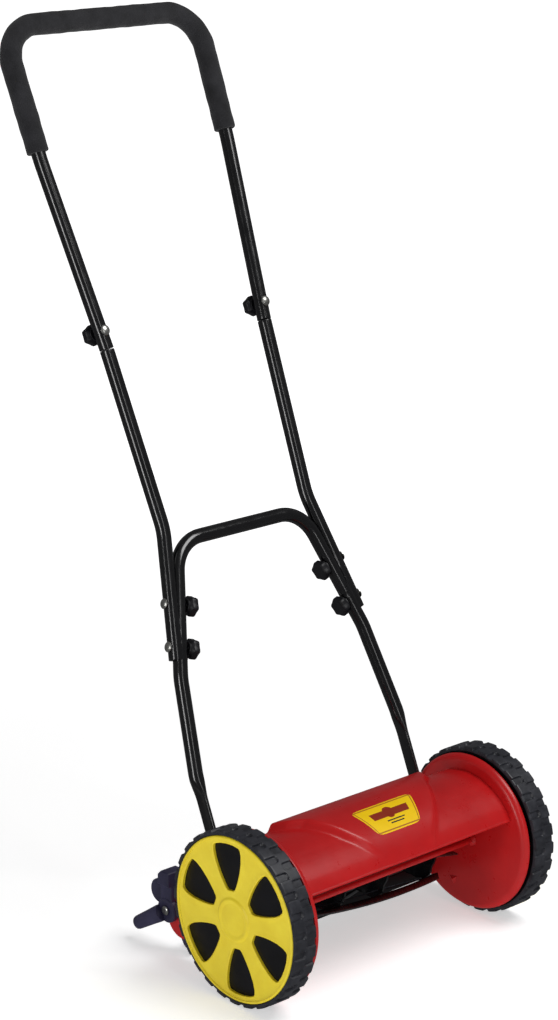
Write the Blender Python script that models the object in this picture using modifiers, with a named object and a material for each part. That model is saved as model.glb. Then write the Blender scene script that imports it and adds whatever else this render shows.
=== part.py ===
"""Push reel mower: side plates, wheels with ring gears, helical reel, bed knife, roller and folding handle.

The frame empty stands on the wheel axis: X runs along the axle, -Y is forward and Z is up.
At the end the frame is shifted so that the origin lies on the ground under the middle of the whole mower.
"""

import math

import bmesh
import bpy
from mathutils import Matrix, Vector

# ---------------------------------------------------------------- driving dimensions (metres)
WHEEL_RADIUS = 0.1075
TYRE_WIDTH = 0.032
TYRE_WALL = 0.0060
PLATE_RADIUS = 0.1007
PLATE_THICKNESS = 0.0025
PLATE_RIM_DEPTH = 0.0087
PLATE_FACE = 0.172            # inner face of each side plate, from the middle of the mower
PLATE_TO_TYRE = 0.014         # from a plate's inner face to the inner face of its tyre
STOP_TAB_DEPTH = 0.013
STOP_TAB_REACH = 0.030        # from the handle's pivot, up the handle

WEB_THICKNESS = 0.0035
WHEEL_HUB_RADIUS = 0.016
CAP_THICKNESS = 0.0030
CAP_PROUD = 0.0020            # cap's outer face beyond the tyre's
WINDOW_COUNT = 6

GEAR_MODULE = 0.004
RING_TEETH = 30
PINION_TEETH = 8
GEAR_WIDTH = 0.012
REEL_DIRECTION = math.radians(-28.0)   # reel axis seen from the wheel axis, below the horizontal at the rear
REEL_RADIUS = 0.047
REEL_LENGTH = 0.300
REEL_TWIST = math.radians(72.0)
REEL_DISC_RADIUS = 0.038
REEL_DISC_THICKNESS = 0.003
REEL_DISC_PLACES = (-0.120, -0.036, 0.036, 0.120)
REEL_SHAFT_RADIUS = 0.005
BEARING_RADIUS = 0.009
PAWL_REACH = 0.0072           # half length of the ratchet pawl
PAWL_WIDTH = 0.003
BLADE_COUNT = 5
BLADE_THICKNESS = 0.0025
KNIFE_THICKNESS = 0.0025
KNIFE_DEPTH = 0.024
KNIFE_LEAD = 0.027            # knife edge behind the reel axis
BED_BAR_HEIGHT = 0.021
BED_BAR_WALL = 0.003

COVER_RADIUS = 0.0845
COVER_THICKNESS = 0.0012
COVER_RAISE = 0.0070          # height of the pressed tongue above the cover
TONGUE_REAR_HALF = 0.130
TONGUE_FRONT_HALF = 0.036
TONGUE_SHOULDER = 0.014       # width over which the tongue rises
COVER_REAR_ANGLE = math.radians(66.0)
COVER_FRONT_ANGLE = math.radians(150.5)

AXLE_RADIUS = 0.008
AXLE_HEAD_RADIUS = 0.012
AXLE_THREAD_RADIUS = 0.0048
PIVOT_BOLT_RADIUS = 0.004
PIVOT_HEAD_RADIUS = 0.0068
KNIFE_SCREW_RADIUS = 0.0025
KNIFE_SCREW_HEAD = 0.0048
CROSS_ROD_RADIUS = 0.004
CROSS_ROD_NECK = 0.003
CROSS_ROD_PLACE = (-0.0115, -0.0065)     # (Y, Z) from the wheel axis

ROLLER_RADIUS = 0.018
ROLLER_Y = 0.138
ROLLER_SHAFT_RADIUS = 0.004
BRACKET_PIVOT = (0.163, -0.053)
BRACKET_LUG = (0.145, -0.061)
BRACKET_LUG_RADIUS = 0.026
BRACKET_BOSS_RADIUS = 0.016
BRACKET_SLAB_HEIGHT = 0.052
BRACKET_OUTER = 0.188         # outer face of the bracket, from the middle of the mower
ARM_INNER = 0.162             # inner face of the roller arms
ARM_RADIUS = 0.011
BRIDGE_RISE = 0.032           # underside of the bracket's bridge above its pivot
EAR_RADIUS = 0.0155
EAR_OFFSET = (0.028, 0.013)
PEG_ANGLE = math.radians(-32.5)
PEG_START = 0.0130
PEG_LENGTH = 0.049
PEG_ROOT = 0.0108
PEG_TIP = 0.0086
PEG_FLATNESS = 0.80

TUBE_RADIUS = 0.009
TUBE_WALL = 0.0012
SPIGOT_LENGTH = 0.044
GRIP_RADIUS = 0.014
HANDLE_PIVOT_Y = 0.0662
HANDLE_LEAN = math.atan(0.43)          # lean to the rear, from the vertical
HANDLE_TOP = 0.985
JOINT_HEIGHT = 0.6105
UPPER_BEND_HEIGHT = 0.830
GRIP_END_HEIGHT = 0.839
UPPER_HALF_WIDTH = 0.155
UPPER_BEND_HALF_WIDTH = 0.150
JOINT_HALF_WIDTH = 0.1286
MIDDLE_BEND = (0.118, 0.401)
MIDDLE_END_HEIGHT = 0.258
MIDDLE_NEST_OFFSET = 0.006
LOWER_TOP = (0.103, 0.385)
LOWER_KNEE = (0.152, 0.238)
LOWER_ANKLE_HEIGHT = 0.130
FLAT_WIDTH = 0.0195
FLAT_THICKNESS = 0.0055
FLAT_TOP_HEIGHT = 0.128
FLAT_BLEND = 0.026
BOLT_HEIGHTS = (0.316, 0.270)
UPPER_BOLT_RISE = 0.0205
BOLT_RADIUS = 0.003
BOLT_HEAD_RADIUS = 0.0065
KNOB_RADIUS = 0.0135
KNOB_LENGTH = 0.014
KNOB_LOBES = 6

TUBE_RESOLUTION = 2
TUBE_SIDES = 4 + 2 * TUBE_RESOLUTION

GAP = 0.0003                  # pieces that touch keep this much apart
RUNNING = 0.00008             # radial clearance of a turning fit
MERGE = 0.000001

# ---------------------------------------------------------------- derived places
TYRE_INNER = PLATE_FACE + PLATE_TO_TYRE
TYRE_OUTER = TYRE_INNER + TYRE_WIDTH
PLATE_BACK = PLATE_FACE + PLATE_THICKNESS
RIM_RADIUS = WHEEL_RADIUS - TYRE_WALL
RING_RADIUS = GEAR_MODULE * RING_TEETH / 2
PINION_RADIUS = GEAR_MODULE * PINION_TEETH / 2
REEL_OFFSET = RING_RADIUS - PINION_RADIUS
REEL_Y = REEL_OFFSET * math.cos(REEL_DIRECTION)
REEL_Z = REEL_OFFSET * math.sin(REEL_DIRECTION)
GEAR_INNER = PLATE_BACK + 0.0045
WEB_INNER = GEAR_INNER + GEAR_WIDTH + 0.0055
WHEEL_HUB_INNER = PLATE_BACK + 0.0015
WHEEL_HUB_OUTER = TYRE_OUTER - 0.013
CAP_RADIUS = RIM_RADIUS
BRACKET_START = PLATE_BACK + 0.0015
ARM_OUTER = PLATE_FACE - 0.002
# a tooth of the ring's hole is centred on the reel's direction, and a gap of the pinion meets it
RING_PHASE = REEL_DIRECTION
PINION_PHASE = REEL_DIRECTION + math.pi / PINION_TEETH
HANDLE_SLOPE = math.tan(HANDLE_LEAN)
FLAT_CENTRE = PLATE_FACE - GAP - FLAT_THICKNESS / 2
ROLLER_Z = ROLLER_RADIUS - WHEEL_RADIUS
SIDES = {"left": -1, "right": 1}
ACROSS = (math.pi / 2, 0.0, math.pi / 2)      # turns a flat outline so that it faces along X

RED = ("red_enamel", (0.47, 0.010, 0.012), 0.28, 0.0)
BLACK_PAINT = ("black_enamel", (0.012, 0.012, 0.016), 0.22, 0.0)
BLACK_PLASTIC = ("black_plastic", (0.018, 0.018, 0.026), 0.48, 0.0)
YELLOW_PLASTIC = ("yellow_plastic", (0.80, 0.62, 0.035), 0.45, 0.0)
TYRE_RUBBER = ("tyre_rubber", (0.022, 0.022, 0.026), 0.62, 0.0)
FOAM = ("grip_foam", (0.020, 0.020, 0.022), 0.95, 0.0)
ZINC = ("zinc_plate", (0.62, 0.62, 0.60), 0.32, 1.0)
BLADE_STEEL = ("blade_steel", (0.42, 0.42, 0.43), 0.35, 1.0)
BRONZE = ("bearing_bronze", (0.45, 0.28, 0.13), 0.40, 1.0)


# ---------------------------------------------------------------- scene, collections and materials
for item in list(bpy.data.objects):
    bpy.data.objects.remove(item, do_unlink=True)

PARTS = bpy.data.collections.new("reel_mower")
CUTTERS = bpy.data.collections.new("cutters")
bpy.context.scene.collection.children.link(PARTS)
bpy.context.scene.collection.children.link(CUTTERS)


def finish_of(entry):
    """Return the Principled material of an entry (name, colour, roughness, metallic)."""
    name, colour, roughness, metallic = entry
    material = bpy.data.materials.get(name)
    if material is None:
        material = bpy.data.materials.new(name)
        material.use_nodes = True
        shader = material.node_tree.nodes["Principled BSDF"]
        shader.inputs["Base Color"].default_value = (*colour, 1.0)
        shader.inputs["Roughness"].default_value = roughness
        shader.inputs["Metallic"].default_value = metallic
    return material


def axis_empty(name, place, parent=None):
    """An empty on a joint's axis, placed in the frame's coordinates."""
    empty = bpy.data.objects.new(name, None)
    empty.empty_display_size = 0.02
    empty.location = place
    PARTS.objects.link(empty)
    if parent is not None:
        empty.parent = parent
    return empty


FRAME = axis_empty("frame", (0.0, 0.0, 0.0))
AXES = {
    "frame": FRAME,
    "left_wheel": axis_empty("left_wheel_axis", (-TYRE_INNER, 0.0, 0.0), FRAME),
    "right_wheel": axis_empty("right_wheel_axis", (TYRE_INNER, 0.0, 0.0), FRAME),
    "reel": axis_empty("reel_axis", (0.0, REEL_Y, REEL_Z), FRAME),
    "height": axis_empty("height_axis", (0.0, *BRACKET_PIVOT), FRAME),
    "roller": axis_empty("roller_axis", (0.0, ROLLER_Y, ROLLER_Z), FRAME),
    "handle": axis_empty("handle_axis", (0.0, HANDLE_PIVOT_Y, 0.0), FRAME),
}


def settle(piece, axis, finish):
    """Hang a finished piece on its axis empty and give it its material."""
    empty = AXES[axis]
    piece.location = piece.location - empty.location
    piece.parent = empty
    piece.data.materials.clear()
    piece.data.materials.append(finish_of(finish))
    return piece


def tool(piece):
    """Make a piece a cutter or helper: not rendered, shown as wire, held by the frame."""
    for collection in list(piece.users_collection):
        collection.objects.unlink(piece)
    CUTTERS.objects.link(piece)
    piece.hide_render = True
    piece.display_type = "WIRE"
    piece.parent = FRAME
    return piece


def boolean(piece, operation, *others):
    """Cut or join a piece with others, which become tools."""
    for other in others:
        modifier = piece.modifiers.new(operation.lower(), "BOOLEAN")
        modifier.operation = operation
        modifier.solver = "EXACT"
        modifier.object = tool(other)
    return piece


# ---------------------------------------------------------------- shape makers
def link_mesh(name, mesh, place=(0.0, 0.0, 0.0), turn=(0.0, 0.0, 0.0)):
    """Link a mesh as an object at a place and turn in the frame."""
    piece = bpy.data.objects.new(name, mesh)
    piece.location = place
    piece.rotation_euler = turn
    PARTS.objects.link(piece)
    return piece


def mesh_of(name, build):
    """Run build on an empty bmesh and return the mesh."""
    bm = bmesh.new()
    build(bm)
    mesh = bpy.data.meshes.new(name)
    bm.to_mesh(mesh)
    bm.free()
    return mesh


def facing_x(side):
    """Rotation that lays a local Z axis along X, outwards on the given side."""
    return (0.0, side * math.pi / 2, 0.0)


def block(name, size, place, turn=(0.0, 0.0, 0.0)):
    """A box of the given size about its place."""
    def build(bm):
        bmesh.ops.create_cube(bm, size=1.0)
        bmesh.ops.scale(bm, vec=Vector(size), verts=bm.verts)
    return link_mesh(name, mesh_of(name, build), place, turn)


def rod(name, radius, length, place, turn=(0.0, math.pi / 2, 0.0), sides=24, end_radius=None):
    """A cylinder or cone, along X unless turned, centred on its place."""
    tip = radius if end_radius is None else end_radius

    def build(bm):
        bmesh.ops.create_cone(
            bm, cap_ends=True, segments=sides, radius1=radius, radius2=tip, depth=length)
    piece = link_mesh(name, mesh_of(name, build), place, turn)
    piece.data.shade_smooth()
    piece.data.set_sharp_from_angle(angle=math.radians(40))
    return piece


def bore_radius(radius, clearance, sides):
    """Radius of a faceted hole whose flats clear a round pin."""
    return (radius + clearance) / math.cos(math.pi / sides)


def inner_flat(radius, wall):
    """Distance from a faceted tube's centre line to the flats of its inner wall."""
    return radius * math.cos(math.pi / TUBE_SIDES) - wall


def turned(name, profile, place, turn, sides, closed, flat_down=False):
    """Turn a profile of (radius, height) about its local Z axis; a ring's profile is a closed loop.

    With flat_down a facet, not a corner, lies at the bottom.
    """
    mesh = bpy.data.meshes.new(name)
    points = [(radius, 0.0, height) for radius, height in profile]
    edges = [(index, index + 1) for index in range(len(points) - 1)]
    if closed:
        edges.append((len(points) - 1, 0))
    mesh.from_pydata(points, edges, [])
    if flat_down:
        mesh.transform(Matrix.Rotation(math.pi / sides, 4, "Z"))
    piece = link_mesh(name, mesh, place, turn)
    screw = piece.modifiers.new("turn", "SCREW")
    screw.axis = "Z"
    screw.angle = 2 * math.pi
    screw.steps = sides
    screw.render_steps = sides
    screw.use_merge_vertices = True
    screw.merge_threshold = MERGE
    screw.use_smooth_shade = False
    return piece


def flat_plate(name, loops, thickness, place, turn=ACROSS):
    """An extruded flat outline: the first loop is its edge and the others are holes."""
    curve = bpy.data.curves.new(name, "CURVE")
    curve.dimensions = "2D"
    curve.fill_mode = "BOTH"
    curve.extrude = thickness / 2
    for loop in loops:
        spline = curve.splines.new("POLY")
        spline.points.add(len(loop) - 1)
        for point, (u, v) in zip(spline.points, loop):
            point.co = (u, v, 0.0, 1.0)
        spline.use_cyclic_u = True
    piece = bpy.data.objects.new(name, curve)
    piece.location = place
    piece.rotation_euler = turn
    PARTS.objects.link(piece)
    return piece


def tube(name, path, radius, resolution=2, caps=True):
    """A round tube or rod along a path of points in the frame."""
    curve = bpy.data.curves.new(name, "CURVE")
    curve.dimensions = "3D"
    curve.bevel_depth = radius
    curve.bevel_resolution = resolution
    curve.use_fill_caps = caps
    spline = curve.splines.new("POLY")
    spline.points.add(len(path) - 1)
    for point, place in zip(spline.points, path):
        point.co = (*place, 1.0)
    piece = bpy.data.objects.new(name, curve)
    PARTS.objects.link(piece)
    return piece


def as_mesh(piece):
    """Replace a curve object by the mesh that it makes, with its caps welded."""
    bpy.context.view_layer.update()
    seen = piece.evaluated_get(bpy.context.evaluated_depsgraph_get())
    mesh = bpy.data.meshes.new_from_object(seen)
    bm = bmesh.new()
    bm.from_mesh(mesh)
    bmesh.ops.remove_doubles(bm, verts=bm.verts, dist=MERGE)
    bmesh.ops.recalc_face_normals(bm, faces=bm.faces)
    bm.to_mesh(mesh)
    bm.free()
    name = piece.name
    matrix = piece.matrix_world.copy()
    bpy.data.objects.remove(piece, do_unlink=True)
    solid = bpy.data.objects.new(name, mesh)
    solid.name = name
    solid.matrix_world = matrix
    PARTS.objects.link(solid)
    return solid


def hollow(piece, wall):
    """Give an open tube its wall, inwards from its outer surface."""
    solidify = piece.modifiers.new("wall", "SOLIDIFY")
    solidify.thickness = wall
    solidify.offset = -1.0
    solidify.use_even_offset = True
    return piece


def arc(centre, radius, start, end, count):
    """Points of an arc in the plane, both ends included; angles in radians."""
    u, v = centre
    steps = [start + (end - start) * index / count for index in range(count + 1)]
    return [(u + radius * math.cos(angle), v + radius * math.sin(angle)) for angle in steps]


def circle(centre, radius, count):
    """Points of a full circle."""
    return arc(centre, radius, 0.0, 2 * math.pi * (count - 1) / count, count - 1)


def filleted(corners, radii, step=math.radians(20)):
    """A path through corners, each inner corner rounded by an arc of its own radius."""
    points = [Vector(corners[0])]
    for before, corner, after, radius in zip(corners, corners[1:], corners[2:], radii):
        corner = Vector(corner)
        arrive = (corner - Vector(before)).normalized()
        leave = (Vector(after) - corner).normalized()
        bend = arrive.angle(leave)
        reach = radius * math.tan(bend / 2)
        first = corner - arrive * reach
        inward = (leave - arrive * arrive.dot(leave)).normalized()
        centre = first + inward * radius
        count = max(2, round(bend / step))
        for index in range(count + 1):
            angle = bend * index / count
            points.append(centre - inward * radius * math.cos(angle) + arrive * radius * math.sin(angle))
    points.append(Vector(corners[-1]))
    return points


def handle_point(x, z):
    """A point of the handle's leaning plane at a width and a height."""
    return Vector((x, HANDLE_PIVOT_Y + HANDLE_SLOPE * z, z))


# ---------------------------------------------------------------- chassis
def make_side_plate(label, side):
    """Pressed pan with a rounded rim, a rear lug, a nut boss for the axle and a stop tab for the handle."""
    face = PLATE_FACE
    back = PLATE_BACK
    lip = face + PLATE_RIM_DEPTH
    flat = PLATE_RADIUS - PLATE_RIM_DEPTH
    inside = PLATE_RIM_DEPTH - PLATE_THICKNESS
    under = [(flat + inside * math.sin(a), lip - inside * math.cos(a)) for a in (0.0, 0.8, math.pi / 2)]
    over = [(flat + PLATE_RIM_DEPTH * math.sin(a), lip - PLATE_RIM_DEPTH * math.cos(a))
            for a in (math.pi / 2, 1.05, 0.52, 0.0)]
    profile = [(0.0, back), *under, *over, (0.0, face)]
    plate = turned(f"side_plate_{label}", profile, (0.0, 0.0, 0.0), facing_x(side), 36, False)

    lug_inset = 0.0001
    middle = side * (face + back) / 2
    tail = arc(BRACKET_LUG, BRACKET_LUG_RADIUS, math.radians(-125), math.radians(62), 11)
    root = arc((0.0, 0.0), flat * 0.92, math.radians(2), math.radians(-66), 6)
    lug_depth = PLATE_THICKNESS - 2 * lug_inset
    lug = as_mesh(flat_plate(f"lug_{label}", [tail + root], lug_depth, (middle, 0.0, 0.0)))
    nut_depth = 0.0055
    nut_place = (side * (face - nut_depth / 2 + 0.0005), 0.0, 0.0)
    boss = rod(f"axle_nut_{label}", AXLE_RADIUS, nut_depth, nut_place, sides=6)

    across = FLAT_WIDTH / 2 + GAP + PLATE_THICKNESS / 2
    tab_y = HANDLE_PIVOT_Y + STOP_TAB_REACH * math.sin(HANDLE_LEAN) + across * math.cos(HANDLE_LEAN)
    tab_z = STOP_TAB_REACH * math.cos(HANDLE_LEAN) - across * math.sin(HANDLE_LEAN)
    tab = block(f"stop_tab_{label}", (STOP_TAB_DEPTH, PLATE_THICKNESS, 0.014),
                (side * (face + 0.001 - STOP_TAB_DEPTH / 2), tab_y, tab_z), (-HANDLE_LEAN, 0.0, 0.0))
    boolean(plate, "UNION", lug, boss, tab)

    through = 0.040
    holes = {
        "axle": ((0.0, 0.0), AXLE_THREAD_RADIUS + GAP, 16),
        "bearing": ((REEL_Y, REEL_Z), BEARING_RADIUS + GAP, 20),
        "rod": (CROSS_ROD_PLACE, CROSS_ROD_NECK + GAP, 12),
        "pivot": ((HANDLE_PIVOT_Y, 0.0), PIVOT_BOLT_RADIUS + GAP, 14),
        "bracket": (BRACKET_PIVOT, PIVOT_BOLT_RADIUS + GAP, 14),
    }
    for use, ((y, z), radius, sides) in holes.items():
        cutter = rod(f"{use}_hole_{label}", bore_radius(radius, 0.0, sides), through,
                     (side * face, y, z), sides=sides)
        boolean(plate, "DIFFERENCE", cutter)
    settle(plate, "frame", RED)


def make_cover():
    """Curved grass deflector between the plates, with a raised tongue that narrows towards the front lip."""
    half = PLATE_FACE - GAP
    columns = 18
    rows = 10
    crest = 0.6

    def build(bm):
        bmesh.ops.create_grid(bm, x_segments=columns, y_segments=rows, size=1.0)
        for vert in bm.verts:
            along = (vert.co.y + 1) / 2
            angle = COVER_REAR_ANGLE + (COVER_FRONT_ANGLE - COVER_REAR_ANGLE) * along
            x = vert.co.x * half
            shoulder = TONGUE_REAR_HALF + (TONGUE_FRONT_HALF - TONGUE_REAR_HALF) * along
            inside = min(1.0, max(0.0, (shoulder - abs(x)) / TONGUE_SHOULDER + 0.5))
            fade = math.cos(along * math.pi / 2) ** crest
            radius = COVER_RADIUS + COVER_RAISE * fade * inside * inside * (3 - 2 * inside)
            vert.co = (x, radius * math.cos(angle), radius * math.sin(angle))
        bmesh.ops.recalc_face_normals(bm, faces=bm.faces)
        if sum((face.normal.dot(face.calc_center_median()) for face in bm.faces)) < 0:
            bmesh.ops.reverse_faces(bm, faces=bm.faces)
    cover = link_mesh("deflector_cover", mesh_of("deflector_cover", build))
    solidify = cover.modifiers.new("wall", "SOLIDIFY")
    solidify.thickness = COVER_THICKNESS
    solidify.offset = -1.0
    cover.data.shade_smooth()
    settle(cover, "frame", RED)


def make_cross_rod():
    """Tie bar under the cover; its turned-down ends sit in the plates."""
    half = PLATE_FACE - GAP
    end = PLATE_BACK + 0.0005
    neck = CROSS_ROD_NECK
    profile = [(0.0, end), (neck, end), (neck, half), (CROSS_ROD_RADIUS, half),
               (CROSS_ROD_RADIUS, -half), (neck, -half), (neck, -end), (0.0, -end)]
    bar = turned("cross_rod", profile, (0.0, *CROSS_ROD_PLACE), facing_x(1), 12, False)
    settle(bar, "frame", RED)


def knife_top():
    """Height of the knife's top face, where its edge just clears the blades' sweep."""
    clear = REEL_RADIUS + 0.0006
    return REEL_Z - math.sqrt(clear * clear - KNIFE_LEAD * KNIFE_LEAD)


def make_bed():
    """Bed bar of angle steel under the fixed knife, and the two screws that hold the knife."""
    front = REEL_Y + KNIFE_LEAD
    top = knife_top()
    under = top - KNIFE_THICKNESS
    half = PLATE_FACE - GAP
    knife = block("bed_knife", (2 * (half - 0.006), KNIFE_DEPTH, KNIFE_THICKNESS),
                  (0.0, front + KNIFE_DEPTH / 2, top - KNIFE_THICKNESS / 2))
    seat = under - GAP
    bar_front = front + 0.0015
    bar_rear = bar_front + KNIFE_DEPTH
    flange = bar_front + BED_BAR_WALL
    outline = [(bar_front, seat), (bar_front, seat - BED_BAR_HEIGHT), (flange, seat - BED_BAR_HEIGHT),
               (flange, seat - BED_BAR_WALL), (bar_rear, seat - BED_BAR_WALL), (bar_rear, seat)]
    bar = as_mesh(flat_plate("bed_bar", [outline], 2 * half, (0.0, 0.0, 0.0)))
    y = front + KNIFE_DEPTH * 0.62
    for label, side in SIDES.items():
        x = side * REEL_LENGTH * 0.40
        for piece in (knife, bar):
            hole = rod(f"knife_hole_{piece.name}_{label}", bore_radius(KNIFE_SCREW_RADIUS, GAP, 12), 0.03,
                       (x, y, under), (0.0, 0.0, 0.0), 12)
            boolean(piece, "DIFFERENCE", hole)
        head = top + GAP
        foot = seat - BED_BAR_WALL - 0.003
        crown = head + 0.002
        profile = [(0.0, crown), (KNIFE_SCREW_HEAD * 0.7, crown), (KNIFE_SCREW_HEAD, head),
                   (KNIFE_SCREW_RADIUS, head), (KNIFE_SCREW_RADIUS, foot), (0.0, foot)]
        screw = turned(f"knife_screw_{label}", profile, (x, y, 0.0), (0.0, 0.0, 0.0), 12, False)
        settle(screw, "frame", ZINC)
    settle(knife, "frame", BLADE_STEEL)
    settle(bar, "frame", BLACK_PAINT)


def make_axle(label, side):
    """Shoulder bolt screwed into the plate's nut; the wheel turns on its shoulder."""
    thread = AXLE_THREAD_RADIUS
    start = PLATE_FACE - 0.004
    shoulder = PLATE_BACK + GAP
    head = WHEEL_HUB_OUTER + GAP
    end = head + 0.0045
    profile = [(0.0, end), (AXLE_HEAD_RADIUS * 0.85, end), (AXLE_HEAD_RADIUS, end - 0.0015),
               (AXLE_HEAD_RADIUS, head), (AXLE_RADIUS, head), (AXLE_RADIUS, shoulder),
               (thread, shoulder), (thread, start), (0.0, start)]
    axle = turned(f"axle_bolt_{label}", profile, (0.0, 0.0, 0.0), facing_x(side), 18, False)
    settle(axle, "frame", ZINC)


def make_bearing(label, side):
    """Flanged bush that carries the reel shaft in the plate."""
    inner = PLATE_FACE - 0.004
    outer = PLATE_BACK + 0.003
    flange = PLATE_BACK + GAP
    sides = 18
    bore = bore_radius(REEL_SHAFT_RADIUS, RUNNING, sides)
    rim = BEARING_RADIUS + 0.003
    profile = [(rim, outer), (rim, flange), (BEARING_RADIUS, flange),
               (BEARING_RADIUS, inner), (bore, inner), (bore, outer)]
    bush = turned(f"reel_bearing_{label}", profile, (0.0, REEL_Y, REEL_Z), facing_x(side), sides, True)
    settle(bush, "frame", BRONZE)


def make_pivot_bolt(label, side):
    """Headed pin through the handle's flattened end and the plate, riveted outside."""
    crown = PIVOT_HEAD_RADIUS * 0.7
    inside = FLAT_CENTRE - FLAT_THICKNESS / 2 - GAP
    outside = PLATE_BACK + GAP
    rivet = outside + 0.0025
    shoulder = inside - 0.0035
    end = inside - 0.005
    profile = [(0.0, rivet), (crown, rivet), (PIVOT_HEAD_RADIUS, outside),
               (PIVOT_BOLT_RADIUS, outside), (PIVOT_BOLT_RADIUS, inside), (PIVOT_HEAD_RADIUS, inside),
               (PIVOT_HEAD_RADIUS, shoulder), (crown, end), (0.0, end)]
    pin = turned(f"handle_pivot_bolt_{label}", profile, (0.0, HANDLE_PIVOT_Y, 0.0), facing_x(side), 14, False)
    settle(pin, "frame", ZINC)


# ---------------------------------------------------------------- wheels and gear train
def gear_outline(teeth, inwards):
    """Outline of a gear with slim straight-sided teeth; inwards makes the hole of a ring gear."""
    pitch_radius = GEAR_MODULE * teeth / 2
    out = -1.0 if inwards else 1.0
    tip = pitch_radius + out * 0.80 * GEAR_MODULE
    root = pitch_radius - out * 1.10 * GEAR_MODULE
    pitch = 2 * math.pi / teeth
    half_root = pitch * 0.24
    half_tip = pitch * 0.10
    points = []
    for tooth in range(teeth):
        middle = tooth * pitch
        for radius, offset in ((root, -half_root), (tip, -half_tip), (tip, half_tip), (root, half_root)):
            points.append((radius * math.cos(middle + offset), radius * math.sin(middle + offset)))
    return points


def turned_outline(points, angle):
    """The outline turned about the origin."""
    c = math.cos(angle)
    s = math.sin(angle)
    return [(c * u - s * v, s * u + c * v) for u, v in points]


def make_wheel(label, side):
    """Moulded wheel with hub, web, rim and the internal ring gear that drives the reel."""
    axis = f"{label}_wheel"
    rim_inner = RIM_RADIUS - 0.004
    sides = 24
    bore = bore_radius(AXLE_RADIUS, RUNNING, sides)
    web_outer = WEB_INNER + WEB_THICKNESS
    rim_start = TYRE_INNER + 0.0015
    rim_end = TYRE_OUTER + CAP_PROUD - CAP_THICKNESS - GAP
    hub = WHEEL_HUB_RADIUS
    profile = [(RIM_RADIUS, rim_end), (RIM_RADIUS, rim_start), (rim_inner, rim_start), (rim_inner, WEB_INNER),
               (hub, WEB_INNER), (hub, WHEEL_HUB_INNER), (bore, WHEEL_HUB_INNER), (bore, WHEEL_HUB_OUTER),
               (hub, WHEEL_HUB_OUTER), (hub, web_outer), (rim_inner, web_outer), (rim_inner, rim_end)]
    wheel = turned(f"wheel_{label}", profile, (0.0, 0.0, 0.0), facing_x(side), sides, True)
    start = GEAR_INNER - 0.001
    depth = WEB_INNER + 0.0004 - start
    wall = RING_RADIUS + 2.1 * GEAR_MODULE
    middle = side * (start + depth / 2)
    toothed = turned_outline(gear_outline(RING_TEETH, True), RING_PHASE)
    loops = [circle((0.0, 0.0), wall, 24), toothed]
    ring = as_mesh(flat_plate(f"ring_gear_{label}", loops, depth, (middle, 0.0, 0.0)))
    boolean(wheel, "UNION", ring)
    settle(wheel, axis, BLACK_PLASTIC)


def make_tyre(label, side):
    """Solid rubber tyre on the rim."""
    sides = 36
    bore = bore_radius(RIM_RADIUS, GAP, sides)
    tread = bore_radius(WHEEL_RADIUS, 0.0, sides)
    ease = 0.0025
    profile = [(tread - ease, TYRE_OUTER), (tread, TYRE_OUTER - ease),
               (tread, TYRE_INNER + ease), (tread - ease, TYRE_INNER),
               (bore, TYRE_INNER), (bore, TYRE_OUTER)]
    tyre = turned(f"tyre_{label}", profile, (0.0, 0.0, 0.0), facing_x(side), sides, True, True)
    settle(tyre, f"{label}_wheel", TYRE_RUBBER)


def window_outline(angle):
    """One window of the hub cap: narrow at the hub, wide at the rim, with bowed sides."""
    # each corner is (share of the cap's radius, angle from the window's middle)
    side = [(0.39, 0.10), (0.50, 0.245), (0.64, 0.315), (0.76, 0.325), (0.86, 0.30)]
    points = [(share, -half) for share, half in side]
    points += [(0.86, -0.15), (0.86, 0.0), (0.86, 0.15)]
    points += [(share, half) for share, half in reversed(side)]
    return [(share * CAP_RADIUS * math.cos(angle + turn), share * CAP_RADIUS * math.sin(angle + turn))
            for share, turn in points]


def make_hub_cap(label, side):
    """Yellow cap clipped into the rim, with six windows and a closed middle."""
    windows = [window_outline(2 * math.pi * (index + 0.5) / WINDOW_COUNT) for index in range(WINDOW_COUNT)]
    middle = side * (TYRE_OUTER + CAP_PROUD - CAP_THICKNESS / 2)
    loops = [circle((0.0, 0.0), CAP_RADIUS, 44), *windows]
    cap = flat_plate(f"hub_cap_{label}", loops, CAP_THICKNESS, (middle, 0.0, 0.0))
    settle(cap, f"{label}_wheel", YELLOW_PLASTIC)


def make_pinion(label, side):
    """Pinion on the reel shaft with a recess for the ratchet pawl."""
    middle = GEAR_INNER + GEAR_WIDTH / 2
    outline = turned_outline(gear_outline(PINION_TEETH, False), PINION_PHASE)
    bore = circle((0.0, 0.0), bore_radius(REEL_SHAFT_RADIUS, RUNNING, 18), 18)
    place = (side * middle, REEL_Y, REEL_Z)
    pinion = as_mesh(flat_plate(f"pinion_{label}", [outline, bore], GEAR_WIDTH, place))
    depth = GEAR_WIDTH / 2
    recess = rod(f"pawl_recess_{label}", PAWL_REACH + 0.001, depth,
                 (side * (GEAR_INNER + GEAR_WIDTH - depth / 2 + 0.0002), REEL_Y, REEL_Z), sides=18)
    boolean(pinion, "DIFFERENCE", recess)
    settle(pinion, "reel", BLADE_STEEL)
    pawl = block(f"pawl_{label}", (pawl_length(), PAWL_WIDTH, 2 * PAWL_REACH), pawl_place(side))
    settle(pawl, "reel", BLADE_STEEL)


def pawl_length():
    """Length of a pawl along the shaft, a little under the pinion's recess."""
    return GEAR_WIDTH / 2 - 0.002


def pawl_place(side):
    """Middle of a pawl, in the recess of its pinion."""
    return (side * (GEAR_INNER + GEAR_WIDTH * 0.75 + 0.0005), REEL_Y, REEL_Z)


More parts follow.
